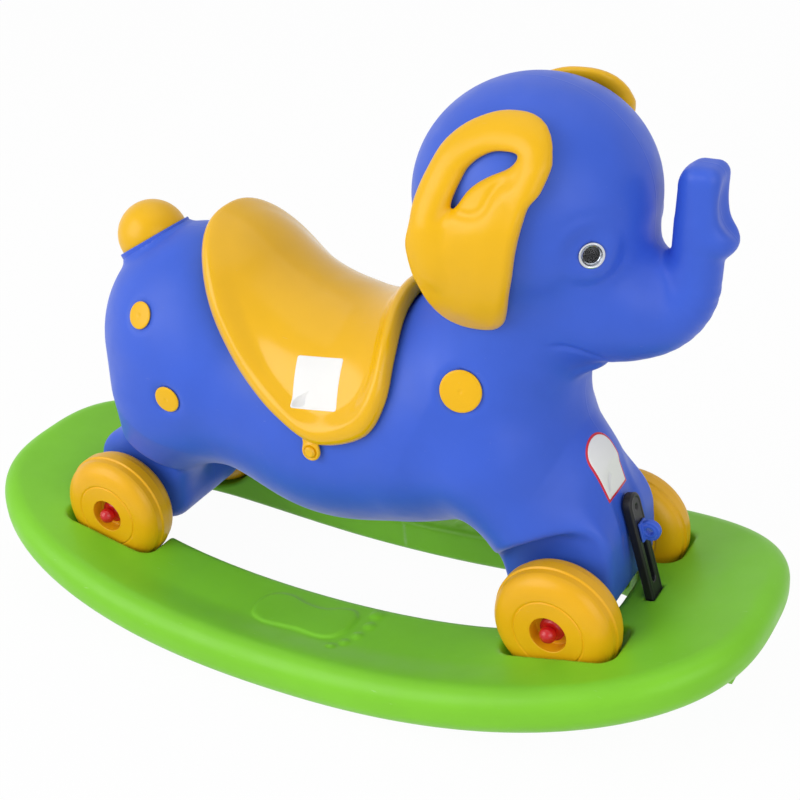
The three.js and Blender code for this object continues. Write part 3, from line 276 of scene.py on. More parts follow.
def fine_body(x, y, z):
    """The body with its furrows, the seats of dots, eyes and tail, and a shallow bed behind the strap."""
    side = np.abs(y)
    d = plain_body(x, y, z)
    for name, seat in DOT_SEATS.items():
        along, across = over_seat(seat, x, side, z)
        gap = across - DOTS[name][2]
        hole = round_max(gap - DOT_PLAY, -along - DOT_DEPTH, SEAT_CORNER)
        dished = DOT_DISH * np.exp(-((gap - DOT_DISH_AT) / DOT_DISH_WIDTH) ** 2)
        d = np.where(np.abs(along) < SEAT_REACH, smooth_max(d + dished, -hole, DOT_BLEND), d)
    along, across = over_seat(EYE_SEAT, x, side, z)
    level = (1 - step_up(across, EYE_FLAT, EYE_FLAT_END)) * (np.abs(along) < EYE_FLAT_REACH)
    d = d + (along - d) * level
    hole = round_max(across - EYE_RADIUS + EYE_GRIP, -along - EYE_DEPTH, SEAT_CORNER)
    d = np.where(np.abs(along) < SEAT_REACH, round_max(d, -hole, EYE_EDGE), d)
    _, along, across = collar(x, y, z)
    hole = round_max(across - COLLAR_BORE, COLLAR_HEIGHT - COLLAR_DEPTH - along, SEAT_CORNER)
    d = round_max(d, -hole, COLLAR_EDGE)
    d = d + creases(x, side, z)
    down, out = over_strap(x - STRAP_TOP[0], z - STRAP_TOP[2])
    bed = round_max(round_max(side - BED_HALF, -BED_RISE - down, BED_CORNER), -out - BED_DEPTH, BED_EDGE)
    return round_max(d, -bed, BED_EDGE)


# ---- meshes
NEAR_CELLS, SETTLE_ROUNDS, LEAST_SLOPE, SLOPE_STEP = 1.25, 3, 0.25, 0.4


def skin(form, low, high, step, coarse=4):
    """Quads of the surface where a form is zero: one point in each cell that it passes, pulled onto it."""
    low, high = np.array(low, float), np.array(high, float)
    n = (np.ceil((high - low) / (step * coarse)).astype(int)) * coarse + 1
    axes = [low[i] + step * np.arange(n[i]) for i in range(3)]
    rough = form(*np.meshgrid(*[a[::coarse] for a in axes], indexing="ij"))
    near = np.full([m - 1 for m in rough.shape], np.inf)
    for i, j, k in product((0, 1), repeat=3):
        part = rough[i:i + near.shape[0], j:j + near.shape[1], k:k + near.shape[2]]
        near = np.minimum(near, np.abs(part))
    near = near < NEAR_CELLS * step * coarse
    lower = [np.minimum(np.arange(m) // coarse, s - 1) for m, s in zip(n, near.shape)]
    upper = [np.maximum((np.arange(m) - 1) // coarse, 0) for m in n]
    mask = np.zeros(n, bool)
    for a, b, c in product(*zip(lower, upper)):
        mask |= near[np.ix_(a, b, c)]
    values = rough[np.ix_(*[np.arange(m) // coarse for m in n])].copy()
    i, j, k = np.nonzero(mask)
    values[i, j, k] = form(axes[0][i], axes[1][j], axes[2][k])
    inside = values < 0
    total = sum(inside[a:n[0] - 1 + a, b:n[1] - 1 + b, c:n[2] - 1 + c].astype(np.int8)
                for a, b, c in product((0, 1), repeat=3))
    cells = np.argwhere((total > 0) & (total < 8))
    number = np.full(total.shape, -1, np.int64)
    number[tuple(cells.T)] = np.arange(len(cells))
    spots, hits = np.zeros((len(cells), 3)), np.zeros(len(cells))
    for axis in range(3):
        others = [o for o in range(3) if o != axis]
        for corner in product((0, 1), repeat=2):
            a = cells.copy()
            a[:, others] += corner
            b = a.copy()
            b[:, axis] += 1
            va, vb = values[tuple(a.T)], values[tuple(b.T)]
            cross = (va < 0) != (vb < 0)
            at = a.astype(float)
            at[:, axis] += np.where(cross, va / np.where(cross, va - vb, 1), 0)
            spots += at * cross[:, None]
            hits += cross
    points = low + step * spots / hits[:, None]
    for _ in range(SETTLE_ROUNDS):
        g = slope(form, points, min(SLOPE_STEP, step / 4))
        value = form(*points.T)
        move = -(value / np.maximum((g * g).sum(1), LEAST_SLOPE))[:, None] * g
        length = np.linalg.norm(move, axis=1, keepdims=True)
        points = points + move * np.minimum(1, 0.5 * step / np.maximum(length, 1e-9))
    quads = []
    for axis in range(3):
        o1, o2 = [o for o in range(3) if o != axis]
        if axis == 1:
            o1, o2 = o2, o1
        here = [slice(1, -1)] * 3
        there = [slice(1, -1)] * 3
        here[axis], there[axis] = slice(0, -1), slice(1, None)
        a, b = inside[tuple(here)], inside[tuple(there)]
        edges = np.argwhere(a != b) + np.array([0 if o == axis else 1 for o in range(3)])
        outward = a[a != b]

        def cell(d1, d2):
            c = edges.copy()
            c[:, o1] -= d1
            c[:, o2] -= d2
            return number[tuple(c.T)]

        ring = np.stack([cell(1, 1), cell(0, 1), cell(0, 0), cell(1, 0)], -1)
        ring[~outward] = ring[~outward][:, ::-1]
        quads.append(ring)
    return points, np.concatenate(quads)


def mesh_object(name, points, faces):
    """A mesh object from points in millimetres and faces of any size."""
    mesh = bpy.data.meshes.new(name)
    points = np.asarray(points, float) * MM
    totals = np.array([len(f) for f in faces])
    loops = np.concatenate([np.asarray(f) for f in faces]) if isinstance(faces, list) else faces.reshape(-1)
    starts = np.concatenate([[0], np.cumsum(totals)[:-1]])
    mesh.vertices.add(len(points))
    mesh.vertices.foreach_set("co", points.reshape(-1).astype(np.float32))
    mesh.loops.add(len(loops))
    mesh.loops.foreach_set("vertex_index", loops.astype(np.int32))
    mesh.polygons.add(len(totals))
    mesh.polygons.foreach_set("loop_start", starts.astype(np.int32))
    mesh.polygons.foreach_set("loop_total", totals.astype(np.int32))
    mesh.polygons.foreach_set("use_smooth", np.ones(len(totals), bool))
    mesh.update(calc_edges=True)
    mesh.validate()
    obj = bpy.data.objects.new(name, mesh)
    scene.collection.objects.link(obj)
    return obj


def finish_piece(obj, finish, *nodes, body="elephant", weighted=False):
    """Give a piece its finish and slot, tie it to its body, and hide the nodes that it stands for."""
    obj.data.materials.append(finish)
    if weighted:
        obj.modifiers.new("normals", "WEIGHTED_NORMAL").keep_sharp = True
    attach(obj, body)
    if nodes:
        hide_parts(*nodes)
    return obj


SPLINE_STEPS = 24


def evenly(path, count):
    """Evenly spaced points along a path, both ends with them."""
    lengths = np.concatenate([[0], np.cumsum(np.linalg.norm(np.diff(path, axis=0), axis=1))])
    wanted = np.linspace(0, lengths[-1], count)
    return np.stack([np.interp(wanted, lengths, column) for column in path.T], -1)


def spline(points, count, closed=False):
    """Evenly spaced points of a centripetal Catmull-Rom curve."""
    p = np.array(points, float)
    if closed:
        p = np.vstack([p[-1], p, p[0], p[1]])
    else:
        p = np.vstack([2 * p[0] - p[1], p, 2 * p[-1] - p[-2]])
    dense = []
    for i in range(len(p) - 3):
        p0, p1, p2, p3 = p[i:i + 4]
        t0, t1, t2 = [max(np.linalg.norm(b - a) ** 0.5, 1e-6) for a, b in ((p0, p1), (p1, p2), (p2, p3))]
        m1 = ((p1 - p0) / t0 - (p2 - p0) / (t0 + t1) + (p2 - p1) / t1) * t1
        m2 = ((p2 - p1) / t1 - (p3 - p1) / (t1 + t2) + (p3 - p2) / t2) * t1
        s = np.linspace(0, 1, SPLINE_STEPS, endpoint=False)[:, None]
        dense.append(p1 + m1 * s + (3 * (p2 - p1) - 2 * m1 - m2) * s ** 2 + (2 * (p1 - p2) + m1 + m2) * s ** 3)
    dense = np.vstack(dense + [p[-2][None]])
    return evenly(dense, count + 1)[:-1] if closed else evenly(dense, count)


def polygon_distance(u, v, outline):
    """Signed distance to a closed outline in a plane, negative inside."""
    best = np.full(u.shape, np.inf)
    inside = np.zeros(u.shape, bool)
    for a, b in zip(outline, np.roll(outline, -1, 0)):
        best = np.minimum(best, to_segment((u, v), a, b)[1])
        if a[1] != b[1]:
            inside ^= ((a[1] > v) != (b[1] > v)) & (u < a[0] + (v - a[1]) * (b[0] - a[0]) / (b[1] - a[1]))
    return np.where(inside, -1, 1) * np.sqrt(best)


def path_distance(u, v, w, path):
    best = np.full(u.shape, np.inf)
    for a, b in zip(path, path[1:]):
        best = np.minimum(best, to_segment((u, v, w), a, b)[1])
    return np.sqrt(best)


NEARLY_STRAIGHT, MOST_BACK = 3.0, 0.45


def rounded(profile, radius, steps=4, closed=False):
    """An outline with rounded corners, which stay as they are where it is nearly straight."""
    p = [np.array(q, float) for q in profile]
    out = []
    count = len(p)
    for i in range(count):
        if not closed and i in (0, count - 1):
            out.append(p[i])
            continue
        before, here, after = p[i - 1], p[i], p[(i + 1) % count]
        a, b = before - here, after - here
        la, lb = np.linalg.norm(a), np.linalg.norm(b)
        a, b = a / la, b / lb
        angle = math.acos(float(np.clip(a @ b, -1, 1)))
        if angle > NEARLY_STRAIGHT:
            out.append(here)
            continue
        back = min(radius / math.tan(angle / 2), MOST_BACK * la, MOST_BACK * lb)
        start, end = here + a * back, here + b * back
        for s in np.linspace(0, 1, steps + 1):
            out.append((1 - s) ** 2 * start + 2 * s * (1 - s) * here + s ** 2 * end)
    return np.array(out)


def dome(radius, height, base, start, count):
    """A crown's profile from its skirt to its top on the axis."""
    points = [(radius * math.cos(t), base + height * math.sin(t)) for t in np.linspace(start, math.pi / 2, count)]
    return points[:-1] + [(0, points[-1][1])]


def lathe(name, profile, segments, place):
    """Turned piece: profile points are (radius, height) along the local Y of a place matrix (4x4, mm)."""
    profile = np.asarray(profile, float)
    points, faces, rows = [], [], []
    for r, h in profile:
        if r < 1e-6:
            rows.append([len(points)])
            points.append((0, h, 0))
            continue
        rows.append(list(range(len(points), len(points) + segments)))
        for s in range(segments):
            t = 2 * math.pi * s / segments
            points.append((r * math.cos(t), h, r * math.sin(t)))
    if len(rows[0]) > 1 and len(rows[-1]) > 1:
        rows.append(rows[0])
    for a, b in zip(rows, rows[1:]):
        for s in range(segments):
            n = (s + 1) % segments
            if len(a) == 1:
                faces.append([a[0], b[s], b[n]])
            elif len(b) == 1:
                faces.append([a[s], b[0], a[n]])
            else:
                faces.append([a[s], b[s], b[n], a[n]])
    points = np.array(points) @ place[:3, :3].T + place[:3, 3]
    area = sum(a[0] * b[1] - b[0] * a[1] for a, b in zip(profile, np.roll(profile, -1, 0)))
    if (area < 0) != (np.linalg.det(place[:3, :3]) < 0):
        faces = [f[::-1] for f in faces]
    return mesh_object(name, points, faces)


def leaf_faces(rows, count):
    """Faces of a closed leaf: a middle point, rows of points round it, an end point."""
    after = [(i + 1) % count for i in range(count)]
    faces = [[0, 1 + i, 1 + j] for i, j in enumerate(after)]
    for a in range(1, 1 + (rows - 1) * count, count):
        faces += [[a + i, a + count + i, a + count + j, a + j] for i, j in enumerate(after)]
    a, end = 1 + (rows - 1) * count, 1 + rows * count
    return faces + [[a + i, end, a + j] for i, j in enumerate(after)]


def place_matrix(x, y, z, point):
    place = np.eye(4)
    place[:3, 0], place[:3, 1], place[:3, 2], place[:3, 3] = x, y, z, point
    return place


def place_along(point, direction):
    """Place matrix whose local Y runs along a direction."""
    y = unit(np.array(direction, float))
    helper = np.array([0.0, 0, 1]) if abs(y[2]) < 0.9 else np.array([1.0, 0, 0])
    z = unit(np.cross(helper, y))
    return place_matrix(np.cross(y, z), y, z, point)


SIDES = (("right", 1), ("left", -1))
MIRROR = np.diag([1.0, -1.0, 1.0, 1.0])


def flank_place(seat, sign):
    """Place matrix on a seat of the near flank, or mirrored onto the far one."""
    place = place_along(*seat)
    return place if sign > 0 else MIRROR @ place


# ---- materials
def node_of(tree, kind, **inputs):
    node = tree.nodes.new(kind)
    for key, value in inputs.items():
        if key in node.inputs:
            node.inputs[key].default_value = value
        else:
            setattr(node, key, value)
    return node


def math_of(tree, operation, *values):
    """What a maths node makes of sockets and numbers."""
    node = node_of(tree, "ShaderNodeMath", operation=operation)
    for socket, value in zip(node.inputs, values):
        if isinstance(value, (int, float)):
            socket.default_value = value
        else:
            tree.links.new(value, socket)
    return node.outputs[0]


def srgb(r, g, b):
    shares = (r / 255, g / 255, b / 255)
    return tuple(v / 12.92 if v <= 0.04045 else ((v + 0.055) / 1.055) ** 2.4 for v in shares) + (1.0,)


# Sockets of a colour mix
MIX_SHARE, MIX_BASE, MIX_OVER, MIX_RESULT = 0, 6, 7, 2
PER_METRE = 1000.0


def plastic(name, colour, rough, rough_spread=0.06, grain=0.02, grain_size=0.9, wave=0.1, wave_size=30,
            mottle=0.05, wear=0.3, coat=0.0, seam=0.0, scuff=0.0, metallic=0.0):
    """Moulded plastic or metal: grain, slow waves, faint mottling, paler worn edges and fine scratches."""
    material = bpy.data.materials.new(name)
    material.use_nodes = True
    tree = material.node_tree
    shader = tree.nodes["Principled BSDF"]
    link = tree.links.new
    place = tree.nodes.new("ShaderNodeTexCoord").outputs["Object"]

    def noise(scale, detail, vector=place, **more):
        node = node_of(tree, "ShaderNodeTexNoise", Scale=scale, Detail=detail, **more)
        link(vector, node.inputs["Vector"])
        return node.outputs["Fac"]

    def ranged(value, low, high, to_low, to_high, **more):
        ends = {"From Min": low, "From Max": high, "To Min": to_low, "To Max": to_high}
        node = node_of(tree, "ShaderNodeMapRange", **ends, **more)
        link(value, node.inputs["Value"])
        return node.outputs["Result"]

    def paler(base, share, gain):
        node = node_of(tree, "ShaderNodeMix", data_type="RGBA")
        node.inputs[MIX_OVER].default_value = tuple(c + (1 - c) * gain for c in colour[:3]) + (1,)
        link(share, node.inputs[MIX_SHARE])
        link(base, node.inputs[MIX_BASE])
        return node.outputs[MIX_RESULT]

    # Colour
    ramp = tree.nodes.new("ShaderNodeValToRGB")
    dark, light = ramp.color_ramp.elements
    dark.position, light.position = 0.3, 0.72
    dark.color = tuple(c * (1 - mottle) for c in colour[:3]) + (1,)
    light.color = tuple(min(1, c * (1 + mottle)) for c in colour[:3]) + (1,)
    link(noise(14.0, 4.0, Roughness=0.55), ramp.inputs["Fac"])
    edge = ranged(tree.nodes.new("ShaderNodeNewGeometry").outputs["Pointiness"], 0.52, 0.62, 0.0, wear)
    shown = paler(ramp.outputs["Color"], math_of(tree, "MULTIPLY", edge, noise(90.0, 3.0)), 0.45)
    if scuff:
        stretched = node_of(tree, "ShaderNodeMapping", Scale=(60, 900, 400), Rotation=(0.3, 0.5, 0.9))
        link(place, stretched.inputs["Vector"])
        lines = noise(1.0, 2.0, stretched.outputs["Vector"])
        shown = paler(shown, ranged(lines, 0.73, 0.8, 0.0, scuff), 0.5)
    link(shown, shader.inputs["Base Color"])
    # Roughness
    rougher = ranged(noise(45.0, 3.0), 0.25, 0.75, rough - rough_spread, rough + rough_spread)
    link(rougher, shader.inputs["Roughness"])
    # Relief: grain, slow waves and, on the middle plane, the parting line of the mould
    fine = math_of(tree, "MULTIPLY", noise(PER_METRE / grain_size, 2.0, Roughness=0.6), grain)
    height = math_of(tree, "MULTIPLY_ADD", noise(PER_METRE / wave_size, 1.0), wave, fine)
    if seam:
        split = tree.nodes.new("ShaderNodeSeparateXYZ")
        link(place, split.inputs["Vector"])
        off = math_of(tree, "ABSOLUTE", split.outputs["Y"])
        ridge = ranged(off, 0.0002, 0.0011, seam, 0.0, interpolation_type="SMOOTHSTEP")
        height = math_of(tree, "ADD", height, ridge)
    bump = node_of(tree, "ShaderNodeBump", Strength=1.0, Distance=MM)
    link(height, bump.inputs["Height"])
    link(bump.outputs["Normal"], shader.inputs["Normal"])
    shader.inputs["Metallic"].default_value = metallic
    shader.inputs["Specular IOR Level"].default_value = 0.5 if metallic else 0.32
    shader.inputs["Coat Weight"].default_value = coat
    shader.inputs["Coat Roughness"].default_value = 0.12
    return material


YELLOW = srgb(240, 184, 6)
BODY = plastic("body_blue", srgb(57, 96, 212), 0.42, grain=0.05, grain_size=1.1, wave=0.25,
               wave_size=26, seam=0.12, scuff=0.1)
TRIM = plastic("trim_yellow", YELLOW, 0.34, wave=0.12, wave_size=20, mottle=0.04, scuff=0.1)
SEAT = plastic("saddle_yellow", YELLOW, 0.2, rough_spread=0.05, grain=0.006, wave=0.2,
               wave_size=34, mottle=0.04, coat=0.12, scuff=0.15)
WHEEL = plastic("wheel_yellow", srgb(240, 178, 16), 0.33, grain=0.012, wave=0.06, wave_size=12,
                wear=0.35, scuff=0.15)
GREEN = plastic("rocker_green", srgb(128, 206, 42), 0.4, grain=0.03, grain_size=1.3, wave=0.3,
                wave_size=40, scuff=0.2)
RED = plastic("cap_red", srgb(205, 18, 30), 0.22, grain=0.004, wave=0.05, wave_size=8, mottle=0.06,
              coat=0.3)
BLACK = plastic("strap_black", srgb(26, 26, 29), 0.42, grain_size=0.7, wave_size=10, mottle=0.1,
                scuff=0.1)
PUPIL = plastic("eye_black", srgb(12, 12, 14), 0.18, grain=0.0, wave=0.0, mottle=0.1, wear=0.0)
SILVER = plastic("eye_silver", srgb(205, 208, 214), 0.16, grain=0.003, wave=0.04, wave_size=3,
                 wear=0.2, metallic=1.0)
STEEL = plastic("axle_steel", srgb(168, 170, 174), 0.3, grain=0.004, wave=0.02, wave_size=3,
                wear=0.2, metallic=1.0)
PAPER = plastic("label_paper", srgb(240, 240, 238), 0.45, grain=0.006, grain_size=0.3, wave=0.03,
                wave_size=6, mottle=0.02, wear=0.0)
BORDER = plastic("sticker_border", srgb(214, 40, 60), 0.3, grain=0.004, wave=0.03, wave_size=6,
                 mottle=0.03, wear=0.0)
CLEAR = plastic("eye_clear", srgb(245, 247, 250), 0.05, rough_spread=0.02, grain=0.0, wave=0.01,
                wave_size=3, mottle=0.01, wear=0.0)
clear = CLEAR.node_tree.nodes["Principled BSDF"].inputs
clear["Transmission Weight"].default_value = 1.0
clear["IOR"].default_value = 1.2

for end in AXLE_X:
    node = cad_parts[f"axle_{end}"]
    node.data.materials.clear()
    node.data.materials.append(STEEL)

# ---- body
BODY_BOX = (-300, -122, 40), (390, 122, 560)
BODY_STEP = 2.6
points, quads = skin(fine_body, *BODY_BOX, BODY_STEP)
body = finish_piece(mesh_object("body_skin", points, quads), BODY, "elephant_body")

# ---- dots and tail
DOT_SHANK, DOT_LENGTH, DOT_UNDER, DOT_LIP, DOT_BEVEL, DOT_CROWN = 0.62, -9, -1.9, -0.7, 1.4, 0.6
DOT_EDGE, DIMPLE_EDGE = -0.1, 2.8
DIMPLE = [(2.2, 0.4), (1.6, 0.25), (1.0, 0.05), (0.5, -0.05), (0, -0.08)]
for name, (_, _, radius) in DOTS.items():
    shank, rim = radius * DOT_SHANK, radius - DOT_BEVEL
    profile = rounded([(0, DOT_LENGTH), (shank, DOT_LENGTH), (shank, DOT_UNDER), (radius, DOT_UNDER),
                       (radius, DOT_LIP), (rim, DOT_EDGE)], 0.9)
    crown = [(r, DOT_EDGE + DOT_CROWN * (1 - (r / rim) ** 2)) for r in np.linspace(radius - 2.2, DIMPLE_EDGE, 8)]
    profile = np.vstack([profile, crown, DIMPLE])
    for side, sign in SIDES:
        piece = lathe(f"{name}_{side}_fine", profile, 72, flank_place(DOT_SEATS[name], sign))
        finish_piece(piece, TRIM, f"{name}_{side}", weighted=True)

TAIL_RADIUS, TAIL_NECK, TAIL_DEPTH, TAIL_UNDER = 34, 23, -12, -2.6
tail_place = place_along(COLLAR_AT + COLLAR_AXIS * COLLAR_HEIGHT, COLLAR_AXIS)
neck = rounded([(0, TAIL_DEPTH), (TAIL_NECK, TAIL_DEPTH), (TAIL_NECK, TAIL_UNDER), (33, TAIL_UNDER)], 0.6)
profile = np.vstack([neck, dome(TAIL_RADIUS, TAIL_RADIUS, 1.5, -0.1, 48)])
finish_piece(lathe("tail_ball_fine", profile, 96, tail_place), TRIM, "tail_ball")
rim = rounded([(34.2, -8), (37.5, -8), (37.5, 0), (34.2, 0)], 0.9, closed=True)
finish_piece(lathe("tail_collar_rim", rim, 96, tail_place), BODY)

# ---- eyes
bezel = rounded([(0, -7), (9, -7), (9, 0.3), (10.4, 0.3), (10.4, 0.96), (9.4, 1.6), (8.4, 1.0), (8.0, 0.2),
                 (7.7, -0.4), (6.2, -1.5), (5.9, -5), (0, -5)], 0.25, 5)
disc = rounded([(0, -4.7), (5.7, -4.7), (5.7, -2.0), (4.4, -1.5), (0, -1.3)], 0.4)
lens = np.vstack([[(0, -0.9), (6.6, -0.9), (7.4, -0.2)], dome(7.5, 3.0, 0.3, 0, 16)])
for side, sign in SIDES:
    for part, profile, finish in (("bezel", bezel, SILVER), ("pupil", disc, PUPIL), ("lens", lens, CLEAR)):
        piece = lathe(f"eye_{part}_{side}_fine", profile, 72, flank_place(EYE_SEAT, sign))
        finish_piece(piece, finish, f"eye_{part}_{side}", weighted=part == "pupil")

# ---- saddle
# Half of its edge: share of the length from the rear, and share of the flap's turn round the back
SADDLE_EDGE = [(0.045, 0), (0.055, 0.14), (0.125, 0.31), (0.25, 0.54), (0.378, 0.73), (0.535, 0.89), (0.72, 1),
               (0.91, 0.9), (0.99, 0.69), (0.99, 0.46), (0.96, 0.18), (0.95, 0)]
SEAT_X, SEAT_LENGTH, SEAT_AXIS, FLAP_TURN, CENTRE, FIT = -137, 233, 215, 1.45, 0.52, 1.9
SEAT_HEIGHT, SEAT_RISE, ROLL_HEIGHT, ROLL_RISE, ROLL_WIDTH, ROLL_EDGE = 8, 25, 16, 18, 13, 0.4
ROLL_TOP, ROLL_FALL, ROLL_END, OPEN_SEAT = 12.5, 12, 31, 40.0
CANTLE_FRONT, CANTLE_REAR = 40, -90
INWARD = (0, 0.15, 0.5, 1.1, 2.0, 3.1, 4.5, 6, 8, 10, 12, 14, 16, 18, 20, 22, 24, 26, 28, 30, 32, 35)
UNDERSIDE = (0.98, 0.94, 0.86, 0.7, 0.5, 0.3, 0.12)


def saddle_point(x, angle, offset):
    start = np.stack([x, np.zeros_like(x), np.full_like(x, SEAT_AXIS)], -1)
    direction = np.stack([np.zeros_like(x), -np.sin(angle), np.cos(angle)], -1)
    return skin_along(start, direction, offset)


def padding(t, x, angle):
    """Height of the saddle over the skin at a distance in from its edge: a roll round the seat."""
    rise = step_up(-x, -CANTLE_FRONT, -CANTLE_REAR) * np.maximum(np.cos(angle), 0) ** 2
    seat, roll, edge = SEAT_HEIGHT + SEAT_RISE * rise, ROLL_HEIGHT + ROLL_RISE * rise, FIT + ROLL_EDGE
    outer = np.sqrt(np.maximum(0, 1 - (1 - np.minimum(t / ROLL_WIDTH, 1)) ** 2))
    inner = step_up(t, ROLL_FALL, ROLL_END)
    return np.where(t < ROLL_TOP, edge + (roll - FIT - ROLL_EDGE) * outer, roll + (seat - roll) * inner)


def saddle_mesh(spokes=168):
    """Rings from the middle of the seat out to its edge, and back underneath."""
    edge = spline(SADDLE_EDGE + [(a, -b) for a, b in SADDLE_EDGE[-2:0:-1]], spokes, closed=True)
    fit, centre, level = np.full(spokes, FIT), np.array([SEAT_X + SEAT_LENGTH * CENTRE]), np.zeros(1)
    rim = saddle_point(SEAT_X + SEAT_LENGTH * edge[:, 0], FLAP_TURN * edge[:, 1], fit)
    middle = saddle_point(centre, level, fit[:1])[0]
    top = saddle_point(centre, level, padding(OPEN_SEAT, centre, level))[0]
    spoke = np.linalg.norm(rim - middle, axis=1)

    def ring(share, inward=None):
        x = SEAT_X + SEAT_LENGTH * (CENTRE + (edge[:, 0] - CENTRE) * share)
        angle = FLAP_TURN * edge[:, 1] * share
        return saddle_point(x, angle, fit if inward is None else padding(inward, x, angle))

    rings = [ring(1 - inward / spoke, inward) for inward in INWARD]
    last = 1 - INWARD[-1] / spoke
    rings += [ring(last * share, OPEN_SEAT) for share in np.linspace(1, 0, 12)[1:-1]]
    order = rings[::-1] + [ring(share) for share in UNDERSIDE]
    return np.vstack([top[None]] + order + [middle[None]]), leaf_faces(len(order), spokes)


saddle = finish_piece(mesh_object("saddle_fine", *saddle_mesh()), SEAT, "saddle")

# Tabs that hold the saddle, each with a round plug
TAB_X, TAB_TURN = 21.0, 1.53
TAB_RADIUS, TAB_HALF, TAB_FLARE, TAB_RISE, TAB_THICKNESS, TAB_EDGE = 8.8, 6.6, 0.12, 11, 1.5, 0.9
TAB_RIM, TAB_RIM_HEIGHT, TAB_RIM_ROUND = 7.2, 3, 0.9
TAB_BOX, TAB_STEP = ((-13, -13, -1), (13, 25, 5)), 0.6
tab_at = saddle_point(np.array([TAB_X]), np.array([TAB_TURN]), np.array([FIT]))[0]
tab_out = unit(slope(plain_body, tab_at))
tab_up = unit(np.array([0, 0, 1.0]) - tab_out * tab_out[2])


def tab_form(u, v, w):
    """u across, v up, w out of the skin."""
    tongue = np.maximum(np.abs(u) - TAB_HALF - TAB_FLARE * np.maximum(v, 0), np.abs(v - TAB_RISE) - TAB_RISE)
    flat = smooth_min(np.hypot(u, v) - TAB_RADIUS, tongue, 3)
    d = round_max(flat, np.abs(w - TAB_THICKNESS) - TAB_THICKNESS, TAB_EDGE)
    rim = np.sqrt((np.hypot(u, v) - TAB_RIM) ** 2 + (w - TAB_RIM_HEIGHT) ** 2) - TAB_RIM_ROUND
    return smooth_min(d, rim, 1.2)


points, quads = skin(tab_form, *TAB_BOX, TAB_STEP)
tab_place = place_matrix(np.cross(tab_out, tab_up), tab_up, tab_out, tab_at)
flip = np.linalg.det(tab_place[:3, :3]) < 0
points = points @ tab_place[:3, :3].T + tab_at
plug_profile = np.vstack([
    rounded([(0, -11), (3, -11), (3, 3.3), (5.2, 3.3), (5.2, 4.7), (3.7, 6.2)], 0.5),
    [(3.2, 6.35), (2.4, 6.3), (1.4, 6.05), (0, 5.95)]])
for side, sign in SIDES:
    ring = quads[:, ::-1] if flip != (sign < 0) else quads
    tab = mesh_object(f"saddle_tab_{side}", points * (1, sign, 1), ring)
    finish_piece(tab, SEAT)
    plug = lathe(f"saddle_plug_{side}_fine", plug_profile, 48, flank_place((tab_at, tab_out), sign))
    finish_piece(plug, SEAT, f"saddle_plug_{side}", weighted=True)

# ---- ears
# Paths in shares of the ear's reach forward and rise
REACH, RISE = 60, 90
HOOP = [(-0.57, -0.44), (-0.6, -0.1), (-0.57, 0.12), (-0.5, 0.29), (-0.4, 0.45), (-0.29, 0.59), (-0.13, 0.69),
        (0.03, 0.75), (0.2, 0.79), (0.38, 0.8), (0.57, 0.79), (0.7, 0.75), (0.78, 0.67), (0.79, 0.58), (0.73, 0.44)]
LOBE = [(-0.9, -0.15), (-0.64, 0.06), (-0.38, 0.05), (-0.24, 0.14), (-0.14, 0.23), (-0.05, 0.32), (0.09, 0.4),
        (0.25, 0.46), (0.4, 0.5), (0.54, 0.54), (0.7, 0.61), (0.9, 0.61), (0.96, 0.58), (0.93, 0.49), (0.83, 0.35),
        (0.76, 0.2), (0.68, 0.01), (0.6, -0.2), (0.53, -0.4), (0.42, -0.62), (0.3, -0.84), (0.16, -1.01),
        (0, -1.09), (-0.25, -1.12), (-0.48, -1.1), (-0.66, -1.02), (-0.8, -0.84), (-0.88, -0.56), (-0.91, -0.35)]
FOLD = [(-0.24, 0.17), (-0.13, 0.15), (-0.01, 0.14), (0.14, 0.16), (0.24, 0.22), (0.3, 0.31), (0.37, 0.39),
        (0.45, 0.43), (0.56, 0.45), (0.63, 0.48), (0.66, 0.54)]
HOOP_DROP, HOOP_RADIUS, HOOP_SWELL, HOOP_FLAT, HOOP_EVEN = 0.012, 12.9, 2.4, 0.72, 0.85
LOBE_FRONT, LOBE_BACK, LOBE_SWELL, LOBE_SWELL_END, LOBE_EDGE = 6.5, 8, 3.0, 26, 6
FOLD_DEPTH, FOLD_WIDTH, EAR_BLEND = 2.4, 4.2, 8
EAR_X, EAR_OUT, EAR_Z = 190, 107, 450
DISH_UP, DISH_RADIUS, NESTLE = -10, 112.5, 8
EAR_BOX = (-74, -108, -18), (78, 96, 18)
EAR_STEP = 1.7
hoop_path = spline([(a * REACH, (b - HOOP_DROP) * RISE, 0) for a, b in HOOP], 46)
lobe_outline = spline([(a * REACH, b * RISE) for a, b in LOBE], 90, closed=True)
fold_path = spline([(a * REACH, b * RISE, 0) for a, b in FOLD], 30)


def ear_form(u, v, w):
    """u forward, v up, w out from the head."""
    outline = polygon_distance(u, v, lobe_outline)
    swell = LOBE_SWELL * step_up(-outline, 0, LOBE_SWELL_END)
    fold = FOLD_DEPTH * np.exp(-(path_distance(u, v, 0 * w, fold_path) / FOLD_WIDTH) ** 2)
    lobe = round_max(outline, np.abs(w) - np.where(w > 0, LOBE_FRONT + swell - fold, LOBE_BACK), LOBE_EDGE)
    hoop = path_distance(u, v, w / HOOP_FLAT, hoop_path) - HOOP_RADIUS - HOOP_SWELL * step_up(-u, -12, 38)
    return smooth_min(lobe, hoop * HOOP_EVEN, EAR_BLEND)


